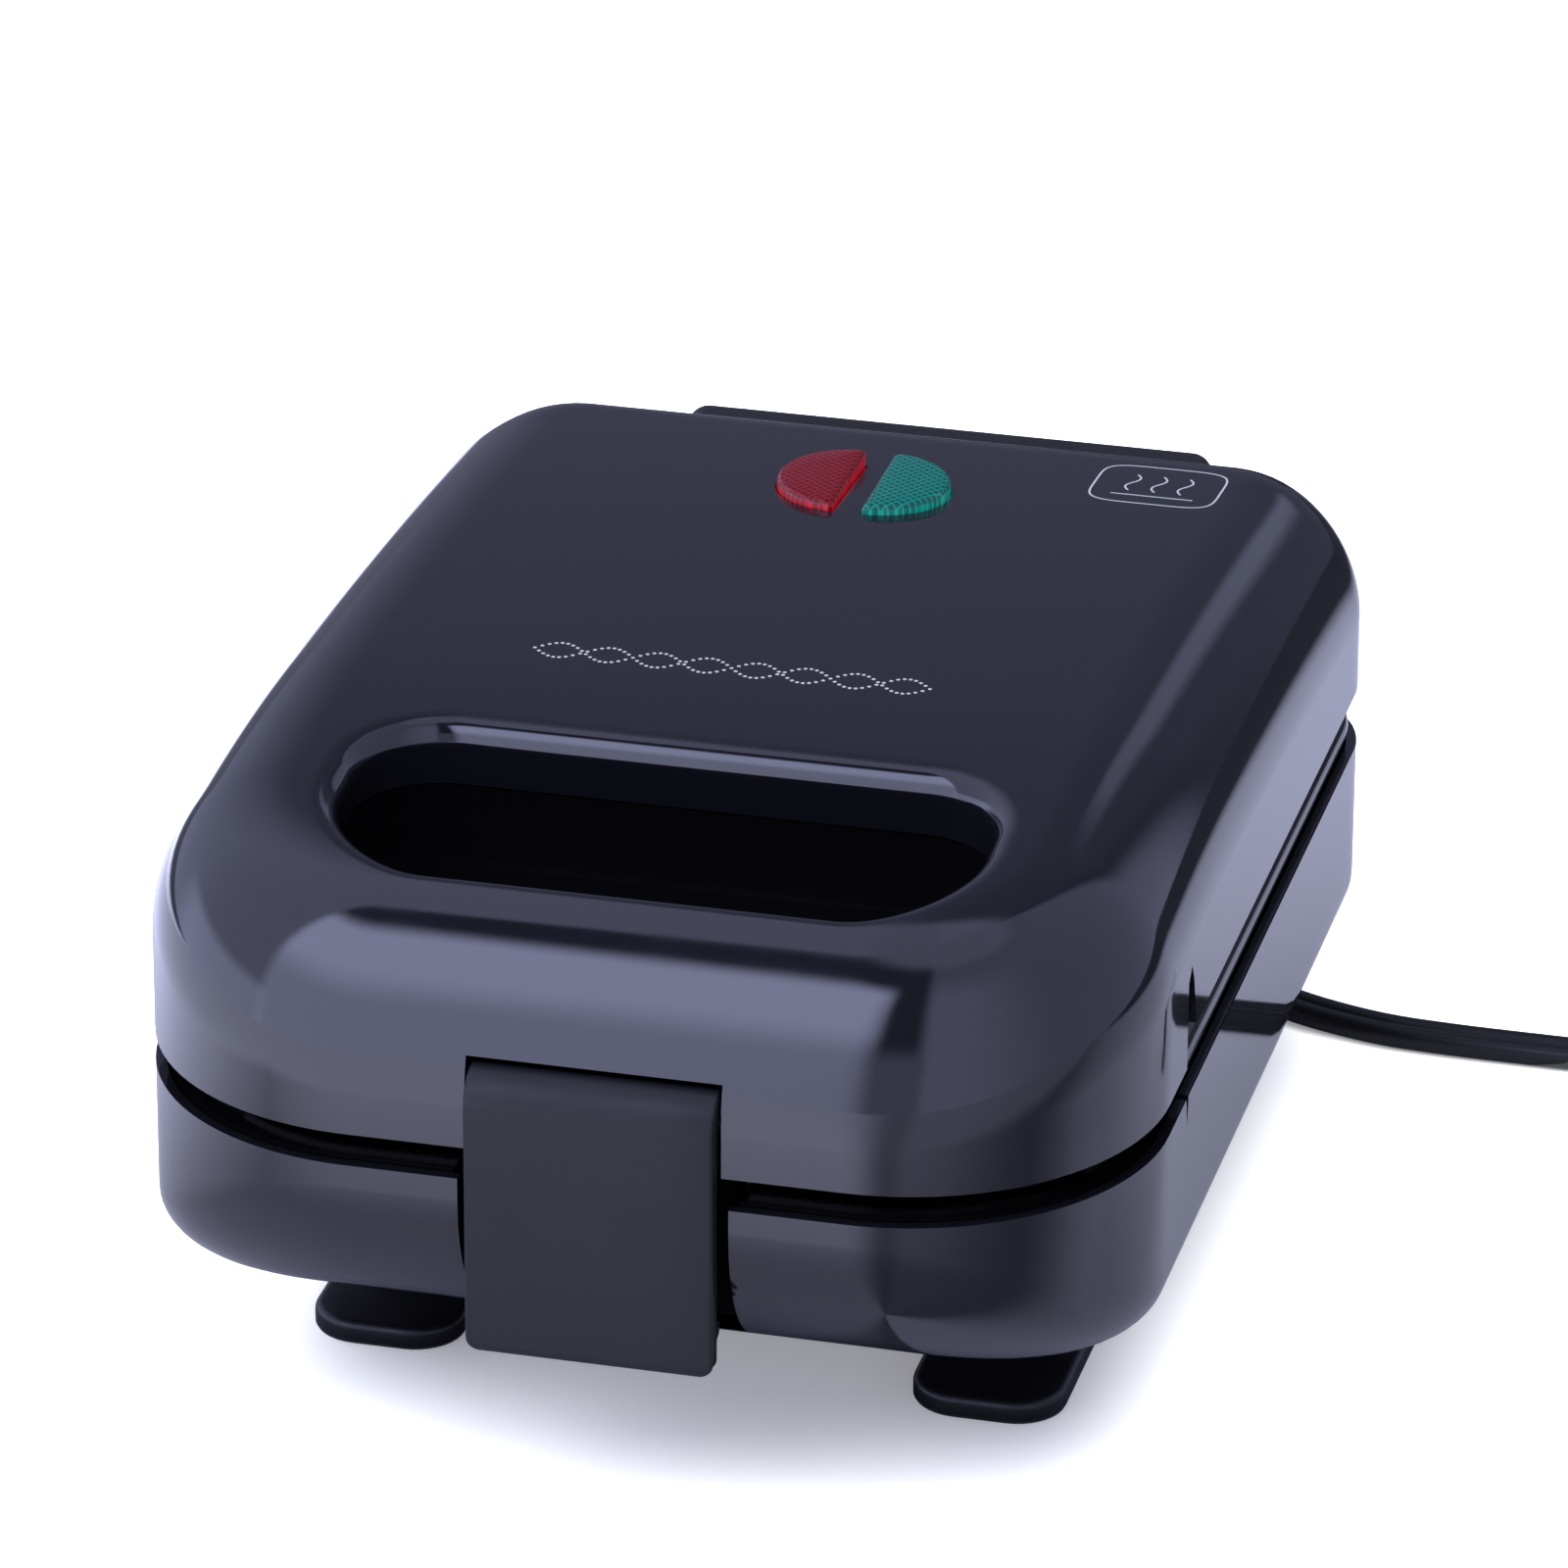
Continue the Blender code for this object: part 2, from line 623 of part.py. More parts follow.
bracket_outline = [(-93 * MM, 53.4 * MM), (-84.2 * MM, 53.4 * MM), (-84.2 * MM, 62.4 * MM),
                   (-91.6 * MM, 62.4 * MM), (-93 * MM, 57 * MM)]
latch_bracket = extruded("latch_bracket", [bracket_outline], 19.6 * MM, (0, 0, 0), MATT)
cut(latch_bracket, box("bracket_bay", (-16.4 * MM, -99 * MM, 50 * MM),
                       (16.4 * MM, -86 * MM, 66 * MM)))
cut(latch_bracket, cylinder("bracket_bore", LATCH_PIN + GAP, 60 * MM, (0, LATCH_Y, LATCH_Z), "X",
                            None, 12))

# ---------------------------------------------------------------- base

lower_shell = drawn_in("lower_shell", BASE_EDGE, lambda y: BASE_BOTTOM, GLOSS, (BASE_ROUND, -1))
cut(lower_shell, box("latch_notch", (-17.2 * MM, -100 * MM, 25.5 * MM),
                     (17.2 * MM, -80 * MM, 60 * MM)))
cut(lower_shell, extruded("base_notch", [[(STEP_Y - 0.2 * MM, 48 * MM), (STEP_Y + 0.9 * MM, 42.8 * MM),
                                          (STEP_Y + 1.6 * MM, 48 * MM)]], 80 * MM, (0, 0, 0)))
lower_frame = frame("lower_frame", -1)
cut(lower_frame, box("catch_bay", (-18.2 * MM, -100 * MM, 38 * MM), (18.2 * MM, -84 * MM, 49.1 * MM)))
lower_plate = plate("lower_plate", -1)
lower_element = element("lower_element", -1)
lower_reflector = channel("lower_reflector", (-58 * MM, -64 * MM, 25.4 * MM),
                          (58 * MM, 61 * MM, 45.2 * MM), -1)
latch_catch = box("latch_catch", (-16.8 * MM, -89 * MM, 29.5 * MM), (16.8 * MM, -84.3 * MM, 48.8 * MM),
                  MATT)
cut(latch_catch, box("catch_ledge", (-12 * MM, -92.9 * MM, 32.5 * MM), (12 * MM, -88 * MM, 36.5 * MM)),
    "UNION")
terminal_block = box("terminal_block", (-24 * MM, 62.6 * MM, 24.6 * MM), (-4 * MM, 74.2 * MM, 33 * MM),
                     ((0.8, 0.8, 0.78), 0.5, 0.0), 0.5 * MM, 1)


def foot(name, x, front, post_front):
    """A moulded foot: a long flat pad with soft top edges, and a square post up to the casing."""
    plan = rounded_plan(FOOT_HALF, front, front + FOOT_LENGTH, 6.6 * MM, 2 * MM, (), 4)
    for point, _ in plan:
        point.x += x
    made = loft(name, [ring(plan, 0.5 * MM, 0), ring(plan, 0, 0.5 * MM),
                       ring(plan, 0, PAD_THICK - 0.7 * MM), ring(plan, 0.7 * MM, PAD_THICK)], MATT)
    post = box(name + "_post", (x - POST_HALF, post_front, 1.5 * MM),
               (x + POST_HALF, post_front + 14 * MM, BASE_BOTTOM - GAP))
    return cut(made, post, "UNION")


feet = []
for row, front, post_front in (("front", FOOT_FRONT, -32.5 * MM),
                               ("rear", FOOT_REAR - FOOT_LENGTH, 24 * MM)):
    for side, word in ((-1, "left"), (1, "right")):
        made = foot(f"{row}_foot_{word}", side * FOOT_X, front, post_front)
        feet.append(made)
        screw(f"foot_screw_{row}_{word}", (side * FOOT_X, post_front + 7 * MM,
                                           BASE_BOTTOM + SHEET + GAP), "Z", 9 * MM,
              through=(made, lower_shell))
for side, word in ((-1, "left"), (1, "right")):
    screw(f"base_hinge_screw_{word}", (side * 12 * MM, 82.1 * MM, 39.7 * MM), "Y", 7 * MM,
          through=(base_hinge_bracket, lower_shell))

# ---------------------------------------------------------------- cord

cut(lower_shell, cylinder("cord_hole", 3.9 * MM, 30 * MM, (CORD_X, REAR_Y, CORD_Z), "Y", None, 16))
relief_profile = [(0, RELIEF_END - REAR_Y), (3.3 * MM, RELIEF_END - REAR_Y), (4.2 * MM, 8 * MM),
                  (4.6 * MM, 3 * MM), (5.4 * MM, 2.8 * MM), (5.4 * MM, GAP), (3.5 * MM, GAP),
                  (3.5 * MM, -2.9 * MM), (4.4 * MM, -2.9 * MM), (4.4 * MM, -4.4 * MM),
                  (0, -4.4 * MM)]
strain_relief = turned("strain_relief", relief_profile, MATT, (CORD_X, REAR_Y, CORD_Z), "Y", 16)

ROUTE = [Vector(p) * MM for p in (
    (-17.5, 105.1, 30), (-17.4, 108, 30), (-13.7, 119, 28.2), (-3.5, 129.2, 23.6), (10.5, 133, 17.4),
    (24.5, 129.2, 11), (34.7, 119, 5.5), (38.5, 105, 2.1), (39.7, 87.6, 1.7), (46.2, 77.4, 1.7), (55.5, 71.2, 1.7),
    (67.3, 67.2, 1.7), (78.5, 66, 1.7), (95, 65.8, 1.7), (108, 65.8, 1.7), (120.2, 65.8, 1.7))]


def smooth_line(points, per_span=4):
    """A Catmull-Rom curve through the points."""
    ends = [points[0] * 2 - points[1]] + points + [points[-1] * 2 - points[-2]]
    line = []
    for a, b, c, d in zip(ends, ends[1:], ends[2:], ends[3:]):
        for i in range(per_span):
            t = i / per_span
            line.append(0.5 * (2 * b + (c - a) * t + (2 * a - 5 * b + 4 * c - d) * t ** 2
                               + (3 * b - a - 3 * c + d) * t ** 3))
    return line + [points[-1]]


RUBBER = ((0.02, 0.02, 0.024), 0.4, 0.0)
power_cord = tube("power_cord", smooth_line(ROUTE), CORD_RADIUS, RUBBER)

COIL_TURNS = 3 + (math.pi / 2 - COIL_END) / (2 * math.pi)
COIL_TOP = CORD_LOW + COIL_TURNS * COIL_TURN
coil_high = COIL_TOP + CORD_RADIUS
cord_coil = turned("cord_coil", [(COIL_RADIUS + 3.1 * MM, coil_high), (COIL_RADIUS + 3.1 * MM, 0.1 * MM),
                                 (COIL_RADIUS - 3.1 * MM, 0.1 * MM), (COIL_RADIUS - 3.1 * MM, coil_high),
                                 (COIL_RADIUS + 3.1 * MM, coil_high)],
                   RUBBER, (*COIL_CENTRE, 0), "Z", 32)

leave = Vector((*COIL_CENTRE, 0)) + COIL_RADIUS * Vector((math.cos(COIL_END), math.sin(COIL_END), 0))
heading = Vector((math.sin(COIL_END), -math.cos(COIL_END), 0))


def along_tail(distance, height):
    """A point on the straight last stretch, from where the cord leaves the coil."""
    point = leave + heading * distance
    point.z = height
    return point


cord_tail = tube("cord_tail", [along_tail(18.8 * MM, 12.0 * MM), along_tail(27 * MM, 10.0 * MM),
                               along_tail(35 * MM, 8.0 * MM), along_tail(PLUG_START - GAP, PLUG_Z)],
                 CORD_RADIUS, RUBBER)


def plug_section(distance, half_wide, half_high, corner):
    """One cross-section of the plug, square to the cord."""
    across = Vector((-heading.y, heading.x, 0))
    outline = rounded_plan(half_wide, -half_high, half_high, corner, corner, (), 3)
    centre = along_tail(PLUG_START + distance, PLUG_Z)
    return [centre + across * p.x + Vector((0, 0, p.y)) for p, _ in outline]


plug_body = loft("plug_body", [
    plug_section(0, 4 * MM, 3 * MM, 2 * MM), plug_section(12 * MM, 6 * MM, 4.5 * MM, 3 * MM),
    plug_section(15 * MM, 10 * MM, 6 * MM, 4 * MM), plug_section(30 * MM, 12 * MM, 7 * MM, 4 * MM),
    plug_section(35 * MM, 12 * MM, 7 * MM, 4 * MM), plug_section(36 * MM, 11 * MM, 6 * MM, 3.5 * MM)],
    RUBBER)
blades = []
for side, word in ((-1, "left"), (1, "right")):
    blade = box(f"plug_blade_{word}", (-8 * MM, -0.75 * MM, -3.1 * MM), (8 * MM, 0.75 * MM, 3.1 * MM),
                ((0.75, 0.72, 0.66), 0.25, 1.0), 0.3 * MM, 1)
    across = Vector((-heading.y, heading.x, 0))
    blade.location = along_tail(PLUG_START + 36.3 * MM + 8 * MM, PLUG_Z) + across * side * 6.35 * MM
    blade.rotation_euler.z = math.atan2(heading.y, heading.x)
    blades.append(blade)

# ---------------------------------------------------------------- wires inside

WIRE_RADIUS = 0.9 * MM
SLEEVE = ((0.75, 0.72, 0.65), 0.7, 0.0)
upper_wire_z = SEAM + ELEMENT_BACK
lid_harness = tube("lid_harness", [
    Vector((-7 * MM, 60.4 * MM, upper_wire_z)), Vector((-7 * MM, 68 * MM, upper_wire_z)),
    Vector((-7 * MM, 70 * MM, 68.4 * MM)), Vector((-7 * MM, 70 * MM, 71.4 * MM)),
    Vector((-7 * MM, 68 * MM, 73.4 * MM)), Vector((-7 * MM, 52.4 * MM, 73.4 * MM))],
    WIRE_RADIUS, SLEEVE)
lower_wire_z = SEAM - ELEMENT_BACK
base_harness = tube("base_harness", [
    Vector((-7 * MM, 60.4 * MM, lower_wire_z)), Vector((-7 * MM, 64 * MM, lower_wire_z)),
    Vector((-7 * MM, 65.6 * MM, lower_wire_z - 0.8 * MM)), Vector((-7 * MM, 66 * MM, 33.4 * MM))],
    WIRE_RADIUS, SLEEVE)

# ---------------------------------------------------------------- lid screws and pivots

for side, word in ((-1, "left"), (1, "right")):
    screw(f"lid_hinge_screw_{word}", (side * 12 * MM, 81.6 * MM, 64 * MM), "Y", 7 * MM,
          through=(lid_hinge_bracket, upper_shell))


def pivot(name, at):
    """An empty on a joint's axis."""
    empty = bpy.data.objects.new(name, None)
    empty.location = at
    PARTS.objects.link(empty)
    return empty


def hang(empty, pieces):
    """Parents pieces to an empty and keeps them where they are."""
    for piece in pieces:
        piece.parent = empty
        piece.matrix_parent_inverse = Matrix.Translation(empty.location).inverted()


lid_pivot = pivot("lid_pivot", axis_at)
latch_pivot = pivot("latch_pivot", (0, LATCH_Y, LATCH_Z))
hang(lid_pivot, [upper_shell, finger_well, upper_frame, upper_plate, upper_element, upper_reflector,
                 red_lens, green_lens, *lamps, lamp_holder, thermostat, thermal_fuse, hinge_cover,
                 lid_hinge_bracket, latch_bracket, latch_pin, lid_harness]
     + [s for s in SCREWS if s.name.startswith("lid_")])
hang(latch_pivot, [latch])
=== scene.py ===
"""A compact donut maker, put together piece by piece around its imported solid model."""
import math

import bmesh
import bpy
import numpy as np
from mathutils import Matrix, Vector


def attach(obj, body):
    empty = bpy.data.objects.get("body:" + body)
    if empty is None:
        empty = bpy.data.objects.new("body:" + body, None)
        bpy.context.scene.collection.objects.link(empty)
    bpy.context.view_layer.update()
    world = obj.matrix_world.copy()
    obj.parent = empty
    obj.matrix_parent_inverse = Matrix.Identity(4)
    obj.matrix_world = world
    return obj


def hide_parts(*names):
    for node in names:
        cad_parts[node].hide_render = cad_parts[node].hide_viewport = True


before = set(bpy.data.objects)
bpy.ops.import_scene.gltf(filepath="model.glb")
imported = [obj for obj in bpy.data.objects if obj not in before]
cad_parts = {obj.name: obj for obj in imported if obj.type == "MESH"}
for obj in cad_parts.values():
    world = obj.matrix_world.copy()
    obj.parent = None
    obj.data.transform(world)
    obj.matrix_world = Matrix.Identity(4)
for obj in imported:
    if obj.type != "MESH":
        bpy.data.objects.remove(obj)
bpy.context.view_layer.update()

# ------------------------------------------------------------------ camera
# The camera stands 1.2 m from the middle of the body with a long lens, a little to the right of
# the front and well above it. It carries a quarter of a degree of roll.
mm = 0.001
look_at, distance = Vector((0.2, 0.0, 60.4)) * mm, 1.2056
azimuth, elevation, roll = math.radians(14.074), math.radians(24.478), math.radians(0.252)
sight = Vector((-math.sin(azimuth) * math.cos(elevation), math.cos(azimuth) * math.cos(elevation),
                -math.sin(elevation)))
level = Vector((math.cos(azimuth), math.sin(azimuth), 0))
upright = level.cross(sight)
across = level * math.cos(roll) + upright * math.sin(roll)
camera_data = bpy.data.cameras.new("camera")
camera_data.lens = 211.6
camera_data.sensor_width = 36
camera_data.clip_end = 50
camera = bpy.data.objects.new("camera", camera_data)
bpy.context.scene.collection.objects.link(camera)
turn = Matrix((across, across.cross(sight), -sight)).transposed()
camera.matrix_world = Matrix.Translation(look_at - sight * distance) @ turn.to_4x4()
bpy.context.scene.camera = camera

# ------------------------------------------------------------------ power cord
# A flat two-core lead with a black PVC sheath. It leaves a moulded strain relief low on the rear
# wall, loops down to the table, runs out along it, and the rest is wound up beside the object.
cord_wide, cord_thick, cord_low = 6.0, 3.3, 1.7
coil_x, coil_y, coil_radius, coil_rise = 139.0, 32.8, 33.0, 3.4
coil_end = math.radians(-10)
coil_turns = 3 + (math.pi / 2 - coil_end) / (2 * math.pi)
plug_start, plug_z = 44.0, 7.2


def quads(rows, columns, around=True):
    """Faces of a grid: each joins column j of row i to the next column and row. When it goes
    around, the last column joins the first."""
    i = np.arange(rows - 1)[:, None]
    j = np.arange(columns if around else columns - 1)[None, :]
    k = (j + 1) % columns
    return np.stack([i * columns + j, i * columns + k, (i + 1) * columns + k,
                     (i + 1) * columns + j], -1).reshape(-1, 4)


def piece(name, points, faces, material, angle=35, outwards=True):
    """A mesh object from points in millimetres; edges sharper than the angle stay crisp."""
    mesh = bpy.data.meshes.new(name)
    mesh.from_pydata((np.asarray(points).reshape(-1, 3) * mm).tolist(), [], faces)
    mesh.validate()
    made = bpy.data.objects.new(name, mesh)
    bpy.context.scene.collection.objects.link(made)
    tidy(mesh, angle, outwards)
    mesh.materials.append(material)
    return made


def tidy(mesh, angle, outwards):
    """Merges doubles, turns the faces of a closed mesh outwards if asked, and shades it smooth."""
    bm = bmesh.new()
    bm.from_mesh(mesh)
    bmesh.ops.remove_doubles(bm, verts=bm.verts, dist=1e-6)
    if outwards:
        bmesh.ops.recalc_face_normals(bm, faces=bm.faces)
    bm.to_mesh(mesh)
    bm.free()
    mesh.shade_smooth()
    mesh.set_sharp_from_angle(angle=math.radians(angle))


def tube(rings):
    """Rings of points joined in order into a skin and capped at both ends: points and faces."""
    rings = np.asarray(rings, float)
    rows, columns = rings.shape[:2]
    caps = [list(range(columns)), list(range((rows - 1) * columns, rows * columns))]
    return rings.reshape(-1, 3), quads(rows, columns).tolist() + caps


def loft(name, rings, material, angle=35):
    """A piece from such rings."""
    return piece(name, *tube(rings), material, angle)


def wire(tree, value, socket):
    """Links the value to the socket if it is a socket too, and stores it there if not."""
    if isinstance(value, bpy.types.NodeSocket):
        tree.links.new(value, socket)
    else:
        socket.default_value = value


def node(tree, kind, settings=(), **inputs):
    """A shader node with its settings and inputs, linked or stored; returns its outputs."""
    made = tree.nodes.new("ShaderNode" + kind)
    for label, value in settings:
        setattr(made, label, value)
    for label, value in inputs.items():
        wire(tree, value, made.inputs[label.replace("_", " ")])
    return made.outputs


def calc(tree, operation, *values):
    """A Math node on sockets or numbers; returns its output."""
    made = tree.nodes.new("ShaderNodeMath")
    made.operation = operation
    for socket, value in zip(made.inputs, values):
        wire(tree, value, socket)
    return made.outputs[0]


def blend(tree, factor, colour_0, colour_1):
    """A colour that goes from the first at factor 0 to the second at 1."""
    return node(tree, "Mix", [("data_type", "RGBA")], Factor=factor, A=(*colour_0, 1),
                B=(*colour_1, 1))["Result"]


def paint(name, colour, roughness, **sockets):
    """A Principled material with constants on its sockets. Returns it, its tree and its sockets."""
    made = bpy.data.materials.new(name)
    made.use_nodes = True
    shader = made.node_tree.nodes["Principled BSDF"].inputs
    for label, value in dict(sockets, Base_Color=(*colour, 1), Roughness=roughness).items():
        shader[label.replace("_", " ")].default_value = value
    return made, made.node_tree, shader


def effect(name, sockets_in, sockets_out):
    """An empty shader node group: its tree, and the inner ends of its inputs and outputs."""
    group = bpy.data.node_groups.new(name, "ShaderNodeTree")
    for label, value in sockets_in.items():
        kind = "NodeSocketVector" if value is None else "NodeSocketFloat"
        socket = group.interface.new_socket(label, in_out="INPUT", socket_type=kind)
        if value is not None:
            socket.default_value = value
    for label in sockets_out:
        group.interface.new_socket(label, in_out="OUTPUT", socket_type="NodeSocketFloat")
    return (group, group.nodes.new("NodeGroupInput").outputs,
            group.nodes.new("NodeGroupOutput").inputs)


def place(tree):
    """Object coordinates in a material."""
    return node(tree, "TexCoord")["Object"]


def finish(tree, shader, group, depth=None, **inputs):
    """Lays a group over a material: its roughness, and its height as a bump if a depth is given."""
    laid = node(tree, "Group", [("node_tree", group)], Position=place(tree), **inputs)
    wire(tree, laid["Roughness"], shader["Roughness"])
    if depth is not None:
        raised = node(tree, "Bump", Distance=depth, Height=laid["Height"])
        wire(tree, raised["Normal"], shader["Normal"])


# Moulded plastic and rubber: a fine grain in the mould's surface, and faint uneven sheen.
moulded, given, wanted = effect("moulded_grain", {"Position": None, "Grain Size": 0.4,
                                                  "Sheen Change": 0.1, "Roughness": 0.5},
                                ("Height", "Roughness"))
grain = node(moulded, "TexNoise", Vector=given["Position"], Detail=2,
             Scale=calc(moulded, "DIVIDE", 1000.0, given["Grain Size"]))
sheen = node(moulded, "TexNoise", Vector=given["Position"], Detail=4, Scale=70)
uneven = calc(moulded, "SUBTRACT", sheen["Fac"], 0.5)
wire(moulded, grain["Fac"], wanted["Height"])
wire(moulded, calc(moulded, "MULTIPLY_ADD", uneven, given["Sheen Change"], given["Roughness"]),
     wanted["Roughness"])


def plastic(name, colour, roughness, grain_size=0.4, depth=0.01, change=0.25, **sockets):
    """Moulded plastic or rubber with its grain, whose size and depth are in millimetres."""
    made, tree, shader = paint(name, colour, roughness, **sockets)
    finish(tree, shader, moulded, depth * mm, Grain_Size=grain_size, Sheen_Change=change,
           Roughness=roughness)
    return made


sheath = plastic("cord_sheath", (0.003, 0.003, 0.0035), 0.34, 0.8, 0.015,
                 Specular_IOR_Level=0.3)


def smooth_line(points, steps):
    """A Catmull-Rom curve: each span blends its two ends with the slopes from their neighbours."""
    points = np.asarray(points, float)
    ends = np.vstack([2 * points[:1] - points[1:2], points, 2 * points[-1:] - points[-2:-1]])
    t = np.linspace(0, 1, steps, endpoint=False)[None, :, None]
    a, b, c, d = (ends[i:len(ends) - 3 + i][:, None, :] for i in range(4))
    line = 0.5 * (2 * b + (c - a) * t + (2 * a - 5 * b + 4 * c - d) * t ** 2
                  + (3 * b - a - 3 * c + d) * t ** 3)
    return np.vstack([line.reshape(-1, 3), points[-1:]])


route = smooth_line([
    (-17.5, 105.1, 30), (-17.4, 108, 30), (-13.7, 118.5, 28.2), (-3.5, 127.8, 23.6),
    (10.5, 131.3, 17.4), (24.5, 127.8, 11), (34.7, 118.5, 5.5), (38.5, 105, 2.1), (39.7, 87.6, 1.7),
    (46.2, 77.4, 1.7), (55.5, 71.2, 1.7), (67.3, 67.2, 1.7), (78.5, 66, 1.7), (95, 65.8, 1.7),
    (108, 65.8, 1.7), (120.2, 65.8, 1.7)], 6)
angle_round = np.linspace(math.pi / 2, math.pi / 2 - coil_turns * 2 * math.pi, 150)
coil = np.stack([coil_x + coil_radius * np.cos(angle_round),
                 coil_y + coil_radius * np.sin(angle_round),
                 cord_low + coil_rise * (math.pi / 2 - angle_round) / (2 * math.pi)], -1)
heading = np.array([math.sin(coil_end), -math.cos(coil_end), 0])
sideways = np.array([math.cos(coil_end), math.sin(coil_end), 0])
tail_at = np.linspace(2, plug_start - 0.3, 14)
fall = np.clip((tail_at - 10) / (plug_start - 10), 0, 1)
tail = coil[-1] + heading * tail_at[:, None]
tail[:, 2] += (plug_z - coil[-1, 2]) * (0.5 - 0.5 * np.cos(math.pi * fall))
cord_line = np.vstack([route, [(129, 65.8, 1.7)], coil, tail])


def full_turn(count):
    """Angles of evenly spaced points round a circle."""
    return np.linspace(0, 2 * math.pi, count, endpoint=False)


def flat_lead(name, line, material):
    """Two round cores side by side, carried along the line with their width kept level: half the
    thickness at a distance x from the middle is that of a circle about the nearer core."""
    core, off = cord_thick / 2, (cord_wide - cord_thick) / 2
    lean = full_turn(32)
    x = cord_wide / 2 * np.cos(lean)
    y = np.sqrt(np.clip(core ** 2 - (np.abs(x) - off) ** 2, 0, None))
    y = np.where(np.sin(lean) < 0, -y, y)
    ahead = np.gradient(line, axis=0)
    ahead /= np.linalg.norm(ahead, axis=1)[:, None]
    side = np.cross(ahead, (0, 0, 1))
    side /= np.linalg.norm(side, axis=1)[:, None]
    up = np.cross(side, ahead)
    rings = line[:, None, :] + side[:, None, :] * x[:, None] + up[:, None, :] * y[:, None]
    return loft(name, rings, material, 60)


cord = flat_lead("cord", cord_line, sheath)
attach(cord, "base")
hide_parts("power_cord", "cord_coil", "cord_tail")

# A moulded two-blade plug: a waisted body that swells towards the blades, in the same black PVC,
# with plated brass blades moulded in.


def squircle(half_wide, half_high, power, count=40):
    """A superellipse: |x/a|^p + |y/b|^p = 1, as (count, 2)."""
    lean = full_turn(count)
    c, s = np.cos(lean), np.sin(lean)
    return np.stack([half_wide * np.sign(c) * np.abs(c) ** (2 / power),
                     half_high * np.sign(s) * np.abs(s) ** (2 / power)], -1)


plug_from = coil[-1] + heading * plug_start
plug_from[2] = plug_z
plug_rings = []
for along, half_wide, half_high, power in (
        (0, 3.0, 2.0, 2.2), (0.3, 3.8, 2.7, 2.2), (6, 4.4, 3.3, 2.4), (11, 5.4, 4.1, 2.6),
        (14, 7.2, 5.0, 2.8), (16.5, 9.6, 5.9, 3), (20, 11.0, 6.4, 3.2), (26, 11.7, 6.8, 3.6),
        (32, 12.0, 7.0, 4), (35, 12.0, 7.0, 4), (35.7, 11.6, 6.7, 4), (36, 10.8, 6.0, 4)):
    outline = squircle(half_wide, half_high, power)
    plug_rings.append(plug_from + heading * along + sideways * outline[:, :1]
                      + np.array([0, 0, 1]) * outline[:, 1:])
plug = loft("plug", plug_rings, sheath, 40)
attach(plug, "base")
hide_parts("plug_body")


def rounded_box(low, high, radius, steps=5):
    """Points and faces of a box with round edges: each point of a finely divided box is drawn in
    to the inner box and pushed out again by the radius along the direction between them."""
    low, high = np.array(low, float), np.array(high, float)
    middle, half = (low + high) / 2, (high - low) / 2
    inner, ramp = half - radius, radius * np.linspace(0, 1, steps)
    lines = [np.concatenate([ramp - whole, np.linspace(-straight, straight, 4)[1:-1],
                             ramp + straight]) for whole, straight in zip(half, inner)]
    points, faces, start = [], [], 0
    for axis in range(3):
        a, b = (axis + 1) % 3, (axis + 2) % 3
        u, v = np.meshgrid(lines[a], lines[b], indexing="ij")
        for sign in (-1, 1):
            q = np.zeros((*u.shape, 3))
            q[..., axis], q[..., a], q[..., b] = sign * half[axis], u, v
            core = np.clip(q, -inner, inner)
            away = q - core
            away /= np.maximum(np.linalg.norm(away, axis=-1, keepdims=True), 1e-9)
            points.append((middle + core + away * radius).reshape(-1, 3))
            block = quads(*u.shape, around=False) + start
            faces.append(block if sign > 0 else block[:, ::-1])
            start += u.size
    return np.vstack(points), np.vstack(faces).tolist()


blade_metal, tree, shader = paint("plated_brass", (0.8, 0.77, 0.7), 0.25, Metallic=1)
brushed = node(tree, "TexNoise", Vector=place(tree), Scale=900)
wire(tree, calc(tree, "MULTIPLY_ADD", brushed["Fac"], 0.25, 0.12), shader["Roughness"])
for side, word in ((-1, "left"), (1, "right")):
    points, faces = rounded_box((36.3, -0.75, -3.1), (52.3, 0.75, 3.1), 0.35, 4)
    points = (plug_from + heading * points[:, :1] + sideways * (points[:, 1:2] + side * 6.35)
              + np.array([0, 0, 1]) * points[:, 2:])
    blade = piece(f"blade_{word}", points, faces, blade_metal)
    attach(blade, "base")
    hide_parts(f"plug_blade_{word}")

# The strain relief is moulded on: a collar against the wall and a taper with bending grooves.
relief_y = np.concatenate([[79.3, 79.4, 81.6, 81.9], np.linspace(82.2, 104.4, 75), [104.7]])
relief_r = np.interp(relief_y, [79.3, 79.4, 81.6, 81.9, 82.2, 104.4, 104.7],
                     [5.2, 5.4, 5.4, 5.2, 4.6, 3.25, 3.0])
relief_r -= np.where((relief_y > 83) & (relief_y < 103),
                     0.55 * (0.5 - 0.5 * np.cos((relief_y - 83) * 2 * math.pi / 2.5)) ** 3, 0)
lean = full_turn(40)
relief_flat = np.interp(relief_y, [82, 104.7], [1.0, 0.72])
relief_rings = np.stack([-17.5 + relief_r[:, None] * np.cos(lean),
                         np.repeat(relief_y[:, None], len(lean), 1),
                         30 + (relief_r * relief_flat)[:, None] * np.sin(lean)], -1)
relief = loft("relief", relief_rings, sheath, 50)
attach(relief, "base")
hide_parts("strain_relief")

# ------------------------------------------------------------------ lower casing
# A deep-drawn steel tray with glossy black paint baked on. Its front is drawn over a large
# radius, the latch drops into a notch, and the feet and the hinge are screwed through it.
half_width, front_y, rear_y, front_corner, rear_corner = 65.0, -94.8, 79.0, 33.5, 20.0


